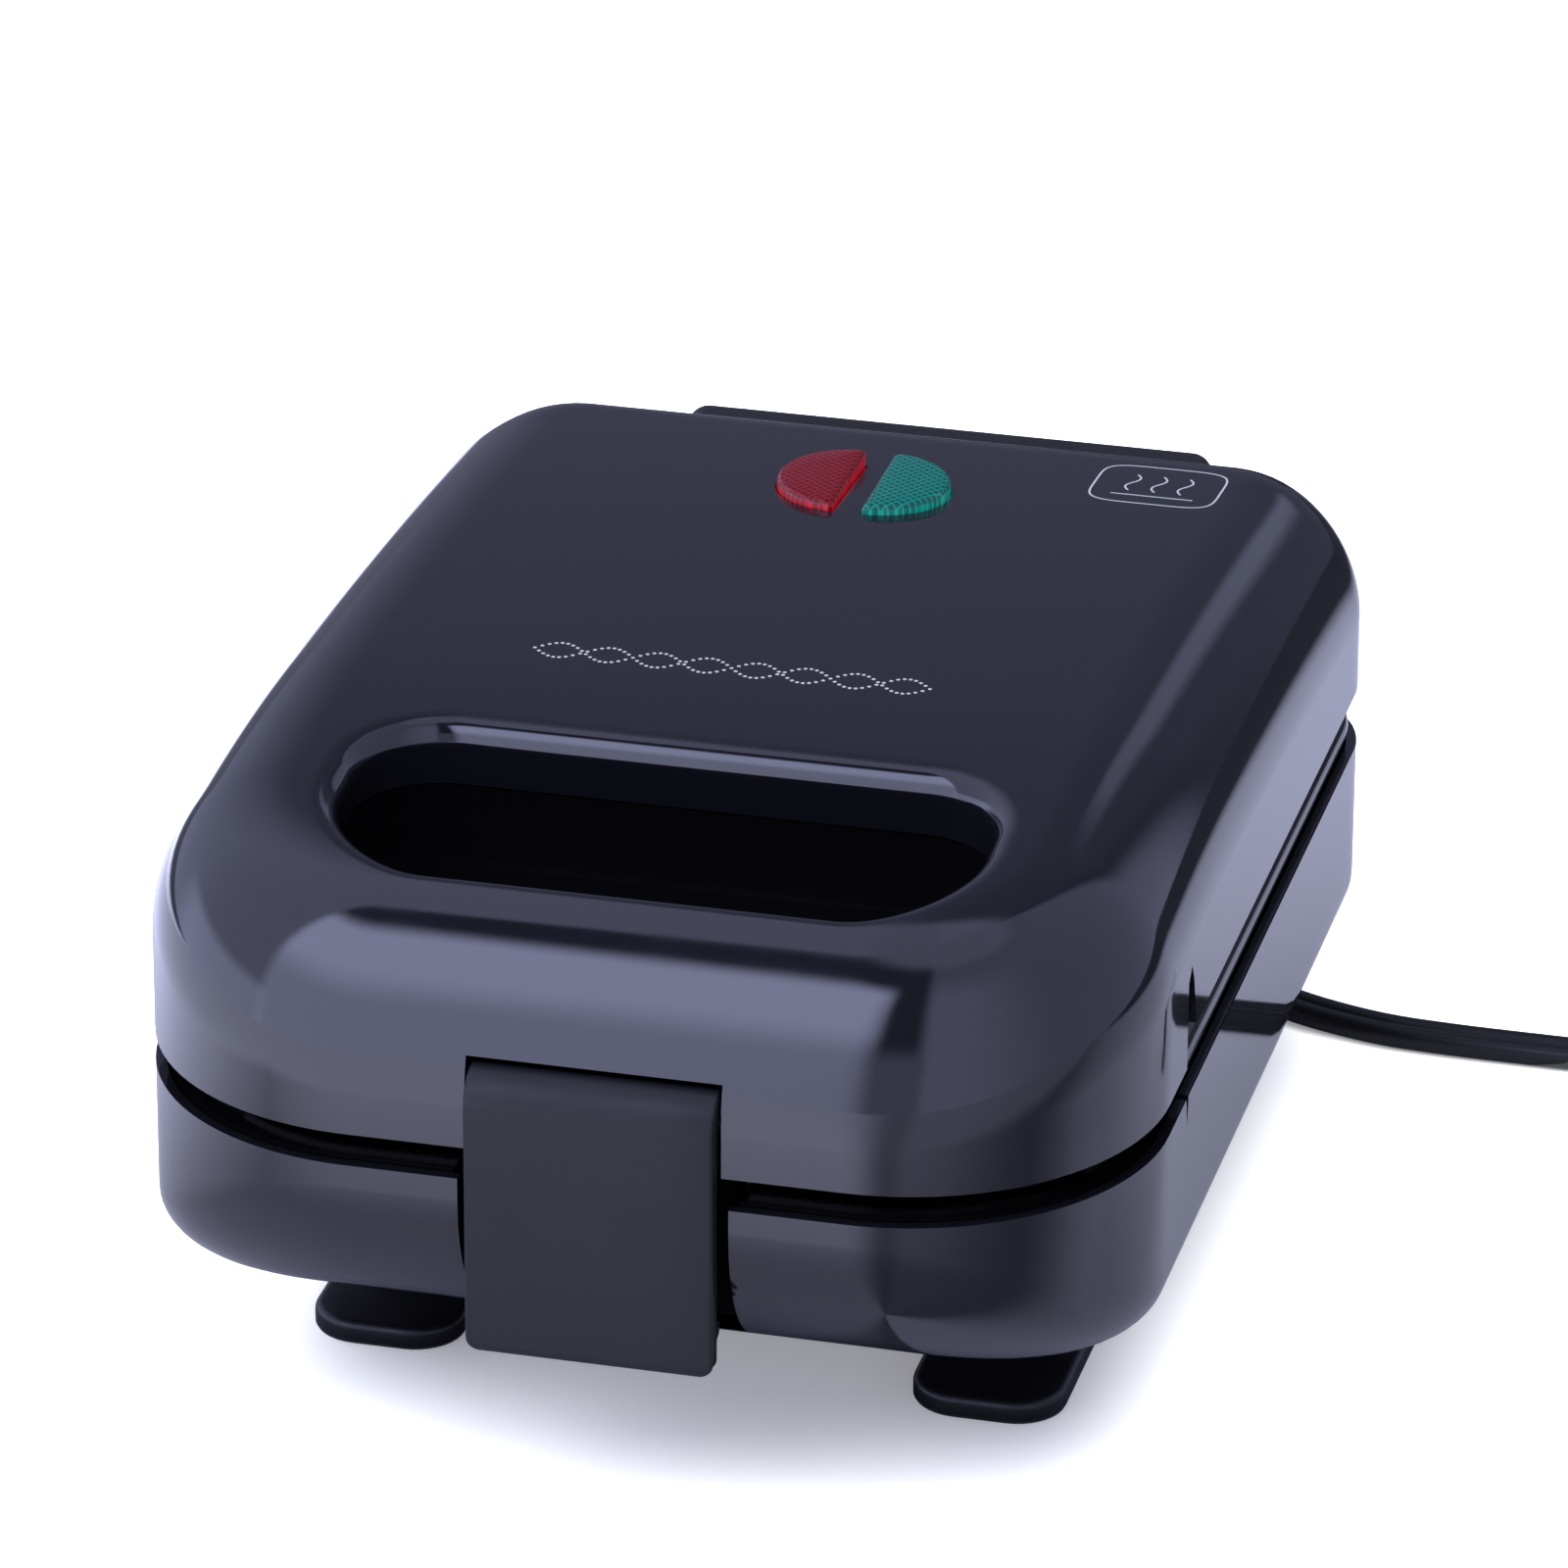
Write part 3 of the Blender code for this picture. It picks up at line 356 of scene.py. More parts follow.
def plan(half, front, rear, corner_front, corner_rear, counts=(24, 26, 44, 20, 30)):
    """A rounded rectangle seen from above, as points and outward normals, anticlockwise from the
    middle of the front. Counts are for front, front corner, side, rear corner and rear."""
    n_front, n_corner, n_side, n_rear_corner, n_rear = counts

    def bend(x, y, radius, start, count):
        turned = np.radians(start + np.linspace(0, 90, count))
        out = np.stack([np.cos(turned), np.sin(turned)], -1)
        return np.hstack([np.array([x, y]) + radius * out, out])

    first = bend(half - corner_front, front + corner_front, corner_front, -90, n_corner)
    last = bend(half - corner_rear, rear - corner_rear, corner_rear, 0, n_rear_corner)
    right = np.vstack([np.linspace([0, front, 0, -1], first[0], n_front // 2 + 1)[:-1], first,
                       np.linspace(first[-1], last[0], n_side + 2)[1:-1], last,
                       np.linspace(last[-1], [0, rear, 0, 1], n_rear // 2 + 1)[1:]])
    both = np.vstack([right, right[-2:0:-1] * [-1, 1, -1, 1]])
    return both[:, :2], both[:, 2:]


def raised(flat, height):
    """A flat outline given its height, one for all points or one for each."""
    return np.column_stack([flat, np.broadcast_to(height, len(flat))])


casing, casing_out = plan(half_width, front_y, rear_y, front_corner, rear_corner)


def edge_radius(side, front, rear, out):
    """Rounding radius where the wall faces out: the squares of its two parts mix the radii."""
    return side * out[..., 0] ** 2 + np.where(out[..., 1] < 0, front, rear) * out[..., 1] ** 2


# Baked gloss paint: a faint orange peel, and smears that dull it a little here and there.
enamel, given, wanted = effect("baked_gloss", {"Position": None, "Roughness": 0.06,
                                               "Smear": 0.08}, ("Height", "Roughness"))
peel = node(enamel, "TexNoise", Vector=given["Position"], Scale=900, Detail=1)
smear = node(enamel, "TexNoise", Vector=given["Position"], Scale=38, Detail=5, Roughness=0.65)
dulled = node(enamel, "MapRange", Value=smear["Fac"], From_Min=0.5, From_Max=0.8)["Result"]
wire(enamel, peel["Fac"], wanted["Height"])
wire(enamel, calc(enamel, "MULTIPLY_ADD", dulled, given["Smear"], given["Roughness"]),
     wanted["Roughness"])


def gloss(name, colour, roughness=0.055, smear_by=0.08, **sockets):
    """A glossy black surface with the baked paint's smears and its peel, a micron deep."""
    made, tree, shader = paint(name, colour, roughness, **sockets)
    finish(tree, shader, enamel, 0.001 * mm, Roughness=roughness, Smear=smear_by)
    return made


black_paint = gloss("black_paint", (0.0028, 0.0027, 0.0042), IOR=1.6)


def cut(target, shapes, angle=35):
    """Subtracts closed shapes, each given as points and faces, from the target's mesh for good."""
    tools = [piece("tool", *shape, black_paint) for shape in shapes]
    for tool in tools:
        change = target.modifiers.new("cut", "BOOLEAN")
        change.object = tool
        change.solver = "EXACT"
    freeze(target, angle)
    for tool in tools:
        bpy.data.objects.remove(tool)


def freeze(target, angle=35):
    """Replaces the mesh by the one its modifiers make."""
    bpy.context.view_layer.update()
    shown = target.evaluated_get(bpy.context.evaluated_depsgraph_get())
    made = bpy.data.meshes.new_from_object(shown)
    target.modifiers.clear()
    target.data = made
    tidy(made, angle, False)


def plain_box(low, high):
    """The eight corners and six faces of a box."""
    corners = np.array([[(low, high)[i][0], (low, high)[j][1], (low, high)[k][2]]
                        for i in (0, 1) for j in (0, 1) for k in (0, 1)])
    return corners, [[0, 1, 3, 2], [4, 6, 7, 5], [0, 4, 5, 1], [2, 3, 7, 6], [0, 2, 6, 4],
                     [1, 5, 7, 3]]


def prism(outline, low_x, high_x):
    """A flat (y, z) outline carried along X, as points and faces."""
    return tube([[(x, y, z) for y, z in outline] for x in (low_x, high_x)])


def rod(axis, centre, radius, length, count=20):
    """A plain cylinder along Y or Z, as points and faces."""
    lean = full_turn(count)
    a, b, c = {"Y": (2, 0, 1), "Z": (0, 1, 2)}[axis]
    points = np.zeros((2, count, 3))
    points[..., a], points[..., b] = radius * np.cos(lean), radius * np.sin(lean)
    points[0, :, c], points[1, :, c] = -length / 2, length / 2
    return tube(points + np.array(centre))


def drawn_sheet(name, rings, thickness, tray=False):
    """Painted sheet steel: a skin with its thickness inwards. A tray faces down, and a fan from the
    middle of its last ring closes it."""
    rings = np.asarray(rings, float)
    rows, columns = rings.shape[:2]
    points, faces = rings.reshape(-1, 3), quads(rows, columns).tolist()
    if tray:
        last = (rows - 1) * columns + np.arange(columns)
        fan = np.stack([last, np.roll(last, -1), np.full(columns, rows * columns)], -1)
        points = np.vstack([points, rings[-1].mean(0)])
        faces = [face[::-1] for face in faces + fan.tolist()]
    made = piece(name, points, faces, black_paint, outwards=False)
    wall = made.modifiers.new("sheet", "SOLIDIFY")
    wall.thickness = thickness * mm
    wall.offset = -1
    freeze(made)
    return made


def tray_rings(edge_z, bottom_z, radii, count=12):
    """The wall's rings from its edge down, then its rounded foot and the flat bottom."""
    radius = edge_radius(*radii, casing_out)
    fall = bottom_z + radius - edge_z
    rows = [raised(casing, edge_z + fall * share) for share in (0, *np.linspace(0.15, 0.9, 5))]
    for lean in np.linspace(0, math.pi / 2, count):
        inset = radius * (1 - math.cos(lean))
        rows.append(raised(casing - casing_out * inset[:, None],
                           bottom_z + radius * (1 - math.sin(lean))))
    rim, centre = rows[-1][:, :2], np.array([0, (front_y + rear_y) / 2])
    return rows + [raised(centre + (rim - centre) * share, bottom_z)
                   for share in (0.85, 0.6, 0.3, 0.1)]


casing_edge, casing_bottom, casing_sheet, screw_hole = 46.9, 21.5, 1.4, 1.6
hinge_screw_x, foot_x, foot_screw_y = (-12, 12), 39.9, (-25.5, 31)
lower_casing = drawn_sheet("lower_casing", tray_rings(casing_edge, casing_bottom, (6.0, 22.0, 8.0)),
                           casing_sheet, tray=True)
latch_notch = plain_box((-17.2, -100, 25.5), (17.2, -80, 60))
side_notch = prism([(-51.2, 48), (-50.1, 42.8), (-49.4, 48)], -80, 80)
cord_hole = rod("Y", (-17.5, 79, 30), 3.9, 20, 40)
cut(lower_casing, [
    latch_notch, side_notch, cord_hole,
    *[rod("Y", (x, 79, 39.7), screw_hole, 20) for x in hinge_screw_x],
    *[rod("Z", (x, y, casing_bottom), screw_hole, 20) for x in (-foot_x, foot_x)
      for y in foot_screw_y]])
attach(lower_casing, "base")
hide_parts("lower_shell")

# ------------------------------------------------------------------ upper casing
# The matching lid in the same painted steel. Its crown falls to the front and the rear, its
# edges are drawn over wide radii, and round the finger slot the sheet is rolled inwards.
crown_z, crown_y, fall_front, fall_rear = 86.6, -25.0, 0.00185, 0.000476
slot_roll, lip_low, lid_edge = 3.6, 77.4, 51.2
slot_line, slot_out = plan(41.0, -76.5, -46.5, 15.0, 11.0)


def crown(y):
    """Height along the middle: a parabola from the highest point, steeper towards the front."""
    return crown_z - np.where(y > crown_y, fall_rear, fall_front) * (y - crown_y) ** 2


def lid_top(x, y):
    """Height of the lid anywhere: the crown less the circular fall of its rounded edge, which
    depends on how far inside the outline the point lies and on which way the nearest wall faces."""
    in_front = y < 0
    corner = np.where(in_front, front_corner, rear_corner)
    past_x = np.abs(x) - (half_width - corner)
    past_y = np.where(in_front, front_y + corner - y, y - (rear_y - corner))
    far = np.hypot(past_x, past_y)
    in_corner = (past_x > 0) & (past_y > 0)
    nx = np.where(in_corner, past_x / np.maximum(far, 1e-9), past_x > past_y)
    ny = np.where(in_corner, past_y / np.maximum(far, 1e-9), past_x <= past_y)
    inset = corner - np.where(in_corner, far, np.maximum(past_x, past_y))
    radius = 18.0 * nx ** 2 + np.where(in_front, 21.0, 12.0) * ny ** 2
    short = np.clip(radius - inset, 0, radius)
    return crown(y) - radius + np.sqrt(np.clip(radius ** 2 - short ** 2, 0, None))


def lid_rings():
    """Wall, rounded shoulder and crown out to the slot's roll, then a quarter turn down into the
    slot and its straight lip. Between outline and slot the points run straight, closest together
    at the outline where the surface bends most."""
    wall_top = lid_top(*casing.T)
    rows = [raised(casing, lid_edge + (wall_top - lid_edge) * share)
            for share in np.linspace(0, 1, 7)[:-1]]
    rim = slot_line + slot_out * slot_roll
    for step in np.linspace(0, 1, 84):
        flat = casing + (rim - casing) * step ** 2.3
        rows.append(raised(flat, lid_top(*flat.T)))
    rim_z = rows[-1][:, 2]
    for lean in np.radians(np.linspace(9, 90, 10)):
        rows.append(raised(slot_line + slot_out * slot_roll * (1 - math.sin(lean)),
                           rim_z - slot_roll * (1 - math.cos(lean))))
    return [*rows, raised(slot_line, lip_low)]


lid_sheet = 1.3
upper_casing = drawn_sheet("upper_casing", lid_rings(), lid_sheet)

light_y, light_radius, light_apart = 44.0, 9.7, 2.0


def half_disc(side, grow, corner=0.5, count=48):
    """One light's outline seen from above: a half circle whose straight edge faces the middle,
    with its two corners rounded."""
    radius = light_radius + grow
    inner = -grow + corner
    reach = radius - corner
    tip = math.sqrt(reach ** 2 - inner ** 2)
    bow = math.atan2(tip, inner)
    parts = []
    for cx, cy, r, a0, a1, n in ((0, 0, radius, -bow, bow, count),
                                 (inner, tip, corner, bow, math.pi, 8),
                                 (inner, -tip, corner, math.pi, 2 * math.pi - bow, 8)):
        lean = np.linspace(a0, a1, n)
        parts.append(np.stack([cx + r * np.cos(lean), cy + r * np.sin(lean)], -1))
    line = np.vstack(parts) + [light_apart, 0]
    return line * [side, 1] + [0, light_y]


def light_rings(side, levels):
    """Rings of the light's outline at (grow, height) pairs."""
    return [raised(half_disc(side, grow), height) for grow, height in levels]


top_z = float(crown(light_y))
side_step = plain_box((-80, -51, 40), (80, 90, 55.2))
side_slit = prism([(-51.05, 54.2), (-45.4, 54.2), (-47.8, 62.4), (-49.2, 64.8), (-51.05, 63.0)],
                  -80, 80)
latch_opening = plain_box((-16.2, -100, 40), (16.2, -85, 63.4))
cut(upper_casing, [
    side_step, side_slit, latch_opening,
    *[rod("Y", (x, 79, 64), screw_hole, 20) for x in hinge_screw_x],
    *[tube(light_rings(side, [(0.25, top_z - 4), (0.25, top_z + 4)])) for side in (-1, 1)]])
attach(upper_casing, "lid")
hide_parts("upper_shell")

# ------------------------------------------------------------------ finger well
# A black heat-resistant cup under the slot keeps fingers off the hot parts. It is moulded in
# one piece and held up against the rolled lip.
# Painted shade: a black far darker and duller than the other plastics, standing in for the shade
# inside the slot. The hidden latch bracket, catch and lamp holder share it.
painted_shade_black = plastic("painted_shade_black", (0.0004, 0.0004, 0.0005), 0.7, 0.5, 0.012,
                     Specular_IOR_Level=0.05)
well_line, well_out = plan(41.0, -76.5, -46.5, 15.0, 11.0, (12, 12, 6, 12, 14))
well_rings = [raised(well_line + well_out * grow, height) for grow, height in (
    (0.8, 64.5), (1.8, 65.5), (1.8, 77.1), (0.2, 77.1), (0.2, 67.5), (-0.4, 66.4), (-1.5, 66.0))]
well = loft("finger_cup", well_rings, painted_shade_black, 40)
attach(well, "lid")
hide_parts("finger_well")

# ------------------------------------------------------------------ printed marks
# Thin pale ink on the lid: a plain ornament of dots on two crossing waves, and a framed symbol
# of three rising waves that says the top gets hot. They are printed over the paint.
ink, tree, shader = paint("pale_ink", (0.19, 0.195, 0.21), 0.5)
wear = node(tree, "TexNoise", Vector=place(tree), Scale=2500)
wire(tree, calc(tree, "MULTIPLY_ADD", wear["Fac"], 0.3, 0.3), shader["Roughness"])
pen_width = 0.27


def printed(name, shapes):
    """Flat closed shapes, each given by its two sides (count, 2) and whether it is a loop, that
    follow the lid's top from just under its surface to just above it."""
    points, faces, start = [], [], 0
    for left, right, loop in shapes:
        count = len(left)
        flat = np.stack([left, right, right, left], 1)
        lift = np.array([-0.05, -0.05, 0.03, 0.03])
        height = lid_top(flat[..., 0], flat[..., 1]) + lift
        points.append(np.dstack([flat, height]).reshape(-1, 3))
        strip = quads(count + loop, 4) % (4 * count) + start
        ends = [] if loop else [[start + k for k in range(4)],
                                [start + 4 * count - 4 + k for k in range(4)]]
        faces += strip.tolist() + ends
        start += 4 * count
    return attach(piece(name, np.vstack(points), faces, ink), "lid")


def stroke(line, loop=False):
    """The two sides of a line drawn with the pen."""
    line = np.asarray(line, float)
    ahead = np.roll(line, -1, 0) - np.roll(line, 1, 0) if loop else np.gradient(line, axis=0)
    aside = np.stack([-ahead[:, 1], ahead[:, 0]], -1)
    aside *= pen_width / 2 / np.linalg.norm(aside, axis=1)[:, None]
    return line + aside, line - aside, loop


wave_x = np.linspace(-27, 25, 69)
lean = np.linspace(0, math.pi, 5)
half_dot = pen_width * np.stack([np.cos(lean), np.sin(lean)], -1)
swing = 2.3 * np.sin((wave_x + 1) * 2 * math.pi / 13)
dots = np.vstack([np.stack([wave_x, -23 + sign * swing], -1) for sign in (-1, 1)])
printed("dotted_waves", [(centre + half_dot * [1, 1], centre + half_dot * [1, -1], False)
                         for centre in dots])
heat_x, heat_y = 37.5, 58.0
rise = np.linspace(-1, 1, 25)
strokes = [stroke(np.stack([heat_x + x + 0.7 * np.sin(rise * math.pi), heat_y + 3.4 * rise], -1))
           for x in (-3.6, 0, 3.6)]
strokes.append(stroke([(heat_x + x, heat_y - 5.2) for x in np.linspace(-5.6, 5.6, 9)]))
strokes.append(stroke(squircle(8.6, 7.8, 5, 72) + [heat_x, heat_y - 0.6], loop=True))
printed("heat_mark", strokes)

# ------------------------------------------------------------------ pilot lights
# Two half-round lenses snap in from below, ruby for power and sea green for ready. Their undersides
# are moulded in small pyramids that scatter the lamp's light, which show as a cross-hatch.


# The prismatic back of both lenses: two crossed waves, turned 38 degrees, pick out facets, and
# their ridges get a painted highlight. Light that comes in through the top and leaves through the
# low rim is painted on as a glow, strongest at the rim.
hatch, given, wanted = effect("prism_hatch", {"Position": None, "Scale": 330.0},
                              ("Ridge", "Painted Glow"))
spread = node(hatch, "Mapping", Vector=given["Position"], Rotation=(0, 0, math.radians(38)))
waves = [node(hatch, "TexWave", [("bands_direction", direction), ("wave_profile", "TRI")],
              Scale=given["Scale"], Vector=spread["Vector"])["Fac"] for direction in ("X", "Y")]
ridge = calc(hatch, "POWER", calc(hatch, "MAXIMUM", *waves), 4.0)
# Mask of the lens's low rim, where the painted glow is strongest.
low = node(hatch, "MapRange", From_Min=(top_z + 1.5) * mm, From_Max=(top_z + 1.1) * mm,
           Value=node(hatch, "SeparateXYZ", Vector=given["Position"])["Z"])["Result"]
wire(hatch, ridge, wanted["Ridge"])
wire(hatch, calc(hatch, "MULTIPLY", low, calc(hatch, "MULTIPLY_ADD", ridge, 0.7, 0.3)),
     wanted["Painted Glow"])


def lens_plastic(name, deep, bright, painted_glow):
    """Clear tinted plastic over the prismatic back: the colour goes from deep in the valleys to a
    painted highlight on the ridges, and the emission is a painted glow."""
    made, tree, shader = paint(name, deep, 0.1, Specular_IOR_Level=0.25, Coat_Weight=0.2,
                               Coat_Roughness=0.05, Emission_Strength=1.0)
    laid = node(tree, "Group", [("node_tree", hatch)], Position=place(tree))
    # Painted highlight: the base colour is lighter on the ridges.
    wire(tree, blend(tree, laid["Ridge"], deep, bright), shader["Base Color"])
    # Painted glow: the emission is faint all over and strongest on the low rim's ridges.
    wire(tree, blend(tree, laid["Painted Glow"], [0.1 * part for part in painted_glow], painted_glow),
         shader["Emission Color"])
    return made


for side, word, deep, bright, painted_glow in (
        (-1, "red", (0.016, 0.0004, 0.001), (0.10, 0.002, 0.006), (0.42, 0.0, 0.006)),
        (1, "green", (0.0, 0.016, 0.014), (0.0, 0.09, 0.078), (0.0, 0.24, 0.19))):
    light = loft(f"{word}_light", light_rings(side, [
        (1.2, top_z - 4), (1.2, top_z - 2.7), (0, top_z - 2.6), (0, top_z + 1.15),
        (-0.15, top_z + 1.5), (-0.5, top_z + 1.78), (-1.0, top_z + 1.88), (-3.5, top_z + 1.9)]),
        lens_plastic(f"{word}_lens", deep, bright, painted_glow), 25)
    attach(light, "lid")
    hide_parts(f"{word}_lens")

# ------------------------------------------------------------------ plate frames
# Black heat-resistant plastic rings hold the plates. Each has a rounded bead that shows
# in the seam, tucked further in round the front, and a skirt inside its casing. The lower ring is
# glossy; the upper one is a darker, duller copy of it, painted shade for its seam under the lid.
seam_z = 51.05
frame_plastic = gloss("frame_plastic", (0.0015, 0.0015, 0.0018), 0.14, 0.1,
                      Specular_IOR_Level=0.35)
# Painted shade: the upper ring's darker, duller copy of the frame plastic stands in for the shade
# under the lid's skirt.
frame_painted_shade = gloss("frame_painted_shade", (0.0008, 0.0008, 0.001), 0.45, 0.1, Specular_IOR_Level=0.06)
plate_half, plate_front, plate_rear, plate_corner = 56.5, -84.0, 62.0, 14.0
plate_line, plate_out = plan(plate_half, plate_front, plate_rear, plate_corner, plate_corner)


def seam_ring(mirror):
    """Rings of the frame's section, each a line round the casing or round the plate."""
    tucked = np.where(casing[:, 1] < -51, 4.8, 0.0)
    rows = []
    for lean in np.radians(np.linspace(-90, 90, 13)):
        inset = 1.2 + tucked + 1.1 * (1 - math.cos(lean))
        rows.append((casing - casing_out * inset[:, None], 2.0 - 1.85 * math.sin(lean)))
    for grow, height in ((0.3, 0.15), (0.3, 3.25), (-3.0, 3.25), (-3.0, 5.45)):
        rows.append((plate_line + plate_out * grow, height))
    for inset, height in ((3.6, 5.45), (3.6, 7.4), (1.9, 7.4), (1.9, 3.85)):
        rows.append((casing - casing_out * inset, height))
    return [raised(flat, seam_z + mirror * height) for flat, height in rows]


for mirror, word, body, coating, bay in (
        (1, "upper", "lid", frame_painted_shade, ((-20.5, -100, 53), (20.5, -83.9, 70))),
        (-1, "lower", "base", frame_plastic, ((-18.2, -100, 38), (18.2, -84, 49.1)))):
    rings = np.array(seam_ring(mirror))
    rows, columns = rings.shape[:2]
    faces = quads(rows + 1, columns) % (rows * columns)
    ring = piece(f"{word}_ring", rings, faces.tolist(), coating, 40)
    cut(ring, [plain_box(*bay)], 40)
    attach(ring, body)
    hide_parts(f"{word}_frame")

# ------------------------------------------------------------------ baking plates
# Die-cast aluminium plates with a dark nonstick coating, four ring moulds each. The moulds bulge
# out behind, and their lips are rounded so that the donuts release.
mould_r, mould_bore, mould_back = 16.0, 9.0, 11.2
nonstick, tree, shader = paint("nonstick", (0.022, 0.022, 0.023), 0.34, Specular_IOR_Level=0.6)
speck = node(tree, "TexVoronoi", Vector=place(tree), Scale=1400)["Distance"]
spot = node(tree, "MapRange", Value=speck, From_Min=0.1, From_Max=0.3)["Result"]
wire(tree, blend(tree, spot, (0.07, 0.07, 0.072), (0.02, 0.02, 0.021)), shader["Base Color"])
wire(tree, node(tree, "Bump", Distance=0.02 * mm, Height=speck)["Normal"], shader["Normal"])
land_depth, mould_x, mould_y, middle_y = 0.45, 27.0, 33.0, -11.0


def mould_profile():
    """Distances from a mould's middle and depths there: post, rounded lip, half circle, rounded
    lip. A lip is a small arc tangent to the flat and to the bore."""
    lip = 0.9
    tilt = math.asin(lip / (mould_bore + lip))
    reach = (mould_bore + lip) * math.cos(tilt)
    bowl = np.linspace(-math.pi / 2 + tilt, math.pi / 2 - tilt, 22)
    inner = [(mould_r - reach + lip * math.sin(a), lip * (1 - math.cos(a)))
             for a in np.linspace(0, math.pi / 2 - tilt, 6)]
    outer = [(2 * mould_r - r, d) for r, d in reversed(inner)]
    middle = [(mould_r + mould_bore * math.sin(a), mould_bore * math.cos(a)) for a in bowl[1:-1]]
    return np.array([(2.5, 0), (5, 0), *inner, *middle, *outer])


def plate_rays():
    """Directions from a mould's middle to the edges of its quarter of the plate, the reach of each,
    and whether the stretch up to the next one lies on the plate's outer edge. The four corners of
    the quarter are among them; the outermost is an arc. X and Y grow towards the outer edges."""
    inner_x, outer_x = mould_x, plate_half - mould_x
    inner_y, outer_y = mould_y, plate_rear - middle_y - mould_y
    corners = np.arctan2([outer_y, -inner_y, -inner_y], [-inner_x, -inner_x, outer_x])
    lean = np.unique(np.round(np.concatenate([np.radians(np.arange(-180, 180, 3.0)), corners]), 9))

    def reach(angles):
        x, y = np.cos(angles), np.sin(angles)
        far = np.stack([np.where(x < 0, inner_x, outer_x) / np.maximum(abs(x), 1e-9),
                        np.where(y < 0, inner_y, outer_y) / np.maximum(abs(y), 1e-9)])
        box = far.min(0)
        middle = np.array([outer_x - plate_corner, outer_y - plate_corner])
        toward = x * middle[0] + y * middle[1]
        arc = toward + np.sqrt(np.clip(toward ** 2 - middle @ middle + plate_corner ** 2, 0, None))
        round_off = (box * x > middle[0]) & (box * y > middle[1])
        side = np.where(far.argmin(0) == 0, x, y) > 0
        return np.where(round_off, arc, box), side

    between = lean + np.diff(np.append(lean, lean[0] + 2 * math.pi)) / 2
    return np.stack([np.cos(lean), np.sin(lean)], -1), reach(lean)[0], reach(between)[1]


rays, ray_reach, on_edge = plate_rays()
mould = mould_profile()


def quarter_plate(side_x, side_y, mirror):
    """One mould and its share of the land: circles about its middle out to the lip, then straight
    lines on to its edges, first for the face and then for the back. Returns points and faces."""
    rims = [(np.full(len(rays), r), np.full(len(rays), d)) for r, d in mould]
    for share in (0.08, 0.3, 0.6, 0.94, 1.0):
        radius = mould[-1][0] + (ray_reach - mould[-1][0]) * share
        rims.append((radius, np.zeros(len(rays))))
    centre = np.array([side_x * mould_x, middle_y + side_y * mould_y])
    skins = []
    for back in (False, True):
        for radius, depth in rims:
            flat = centre + rays * radius[:, None] * [side_x, side_y]
            if back:
                bulge = np.sqrt(np.clip(mould_back ** 2 - (radius - mould_r) ** 2, 0, None))
                depth = np.maximum(2.5, bulge)
            skins.append(raised(flat, seam_z + mirror * (land_depth + depth)))
    rows, columns = len(rims), len(rays)
    grid = quads(rows, columns)
    wall = np.where(on_edge)[0]
    along = (wall + 1) % columns
    last, back_last = (rows - 1) * columns, (2 * rows - 1) * columns
    edge = np.stack([last + wall, last + along, back_last + along, back_last + wall], -1)
    faces = np.vstack([grid, grid + rows * columns, edge]).tolist()
    caps = [np.arange(columns).tolist(), (np.arange(columns) + rows * columns).tolist()]
    return np.vstack(skins), faces + caps


for mirror, word, body in ((1, "upper", "lid"), (-1, "lower", "base")):
    points, faces, start = [], [], 0
    for side_x in (-1, 1):
        for side_y in (-1, 1):
            block, block_faces = quarter_plate(side_x, side_y, mirror)
            points.append(block)
            faces += [[corner + start for corner in face] for face in block_faces]
            start += len(block)
    made = piece(f"{word}_baking_plate", np.vstack(points), faces, nonstick)
    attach(made, body)
    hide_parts(f"{word}_plate")

# ------------------------------------------------------------------ latch
# A flat lever of charcoal glass-filled nylon. It turns on a steel pin between two cheeks under
# the lid's front edge, hangs over the seam, and has a small toe for the catch in the base.
latch_y, latch_z, latch_half = -91.3, 57.2, 15.8
charcoal = plastic("charcoal_nylon", (0.0052, 0.0056, 0.0072), 0.42, 0.5, 0.012, 0.3,
                   Specular_IOR_Level=0.22)


def bow(centre, radius, start, end, count):
    """Points on an arc, angles in degrees."""
    lean = np.radians(np.linspace(start, end, count))
    return np.stack([centre[0] + radius * np.cos(lean), centre[1] + radius * np.sin(lean)], -1)


foot_z = 24.4 - latch_z
lever = np.vstack([
    bow((0, 0), 3.6, -90, 60, 16), bow((-1.4, 0.6), 4.5, 90, 180, 16),
    [(-5.9, z) for z in np.linspace(-1, foot_z + 2.6, 12)],
    [(-5.9, z) for z in foot_z + np.array([2.2, 1.8, 1.4, 1.0])],
    bow((-4.9, foot_z + 1.0), 1.0, 180, 270, 6)[1:], bow((-3.8, foot_z + 0.7), 0.7, 270, 360, 5),
    [(-3.1, foot_z + 1.2), (-3.1, foot_z + 1.8), (-3.1, foot_z + 2.4), (-3.1, -28.5),
     (-1.9, -27.9), (-1.9, -26.4), (-3.1, -25.8), (-3.1, -20), (-3.1, -12), (-3.1, -5.5)]])
ahead = np.roll(lever, -1, 0) - np.roll(lever, 1, 0)
ahead /= np.linalg.norm(ahead, axis=1)[:, None]
lever_out = np.stack([ahead[:, 1], -ahead[:, 0]], -1)
lever_out *= np.sign((lever_out[:16] * lever[:16]).sum())
corner_up = np.clip(2.0 - (lever[:, 1] - foot_z), 0, 2)
lever_half = latch_half - (2.0 - np.sqrt(4.0 - corner_up ** 2))
round_edge = [(0.5, 0.0), (0.25, 0.07), (0.08, 0.23), (0.0, 0.5)]
stations = [(-1, *pair) for pair in round_edge]
stations += [(share, 0, 0) for share in (-0.6, -0.2, 0.2, 0.6)]
stations += [(1, *pair) for pair in reversed(round_edge)]
lever_rings = []
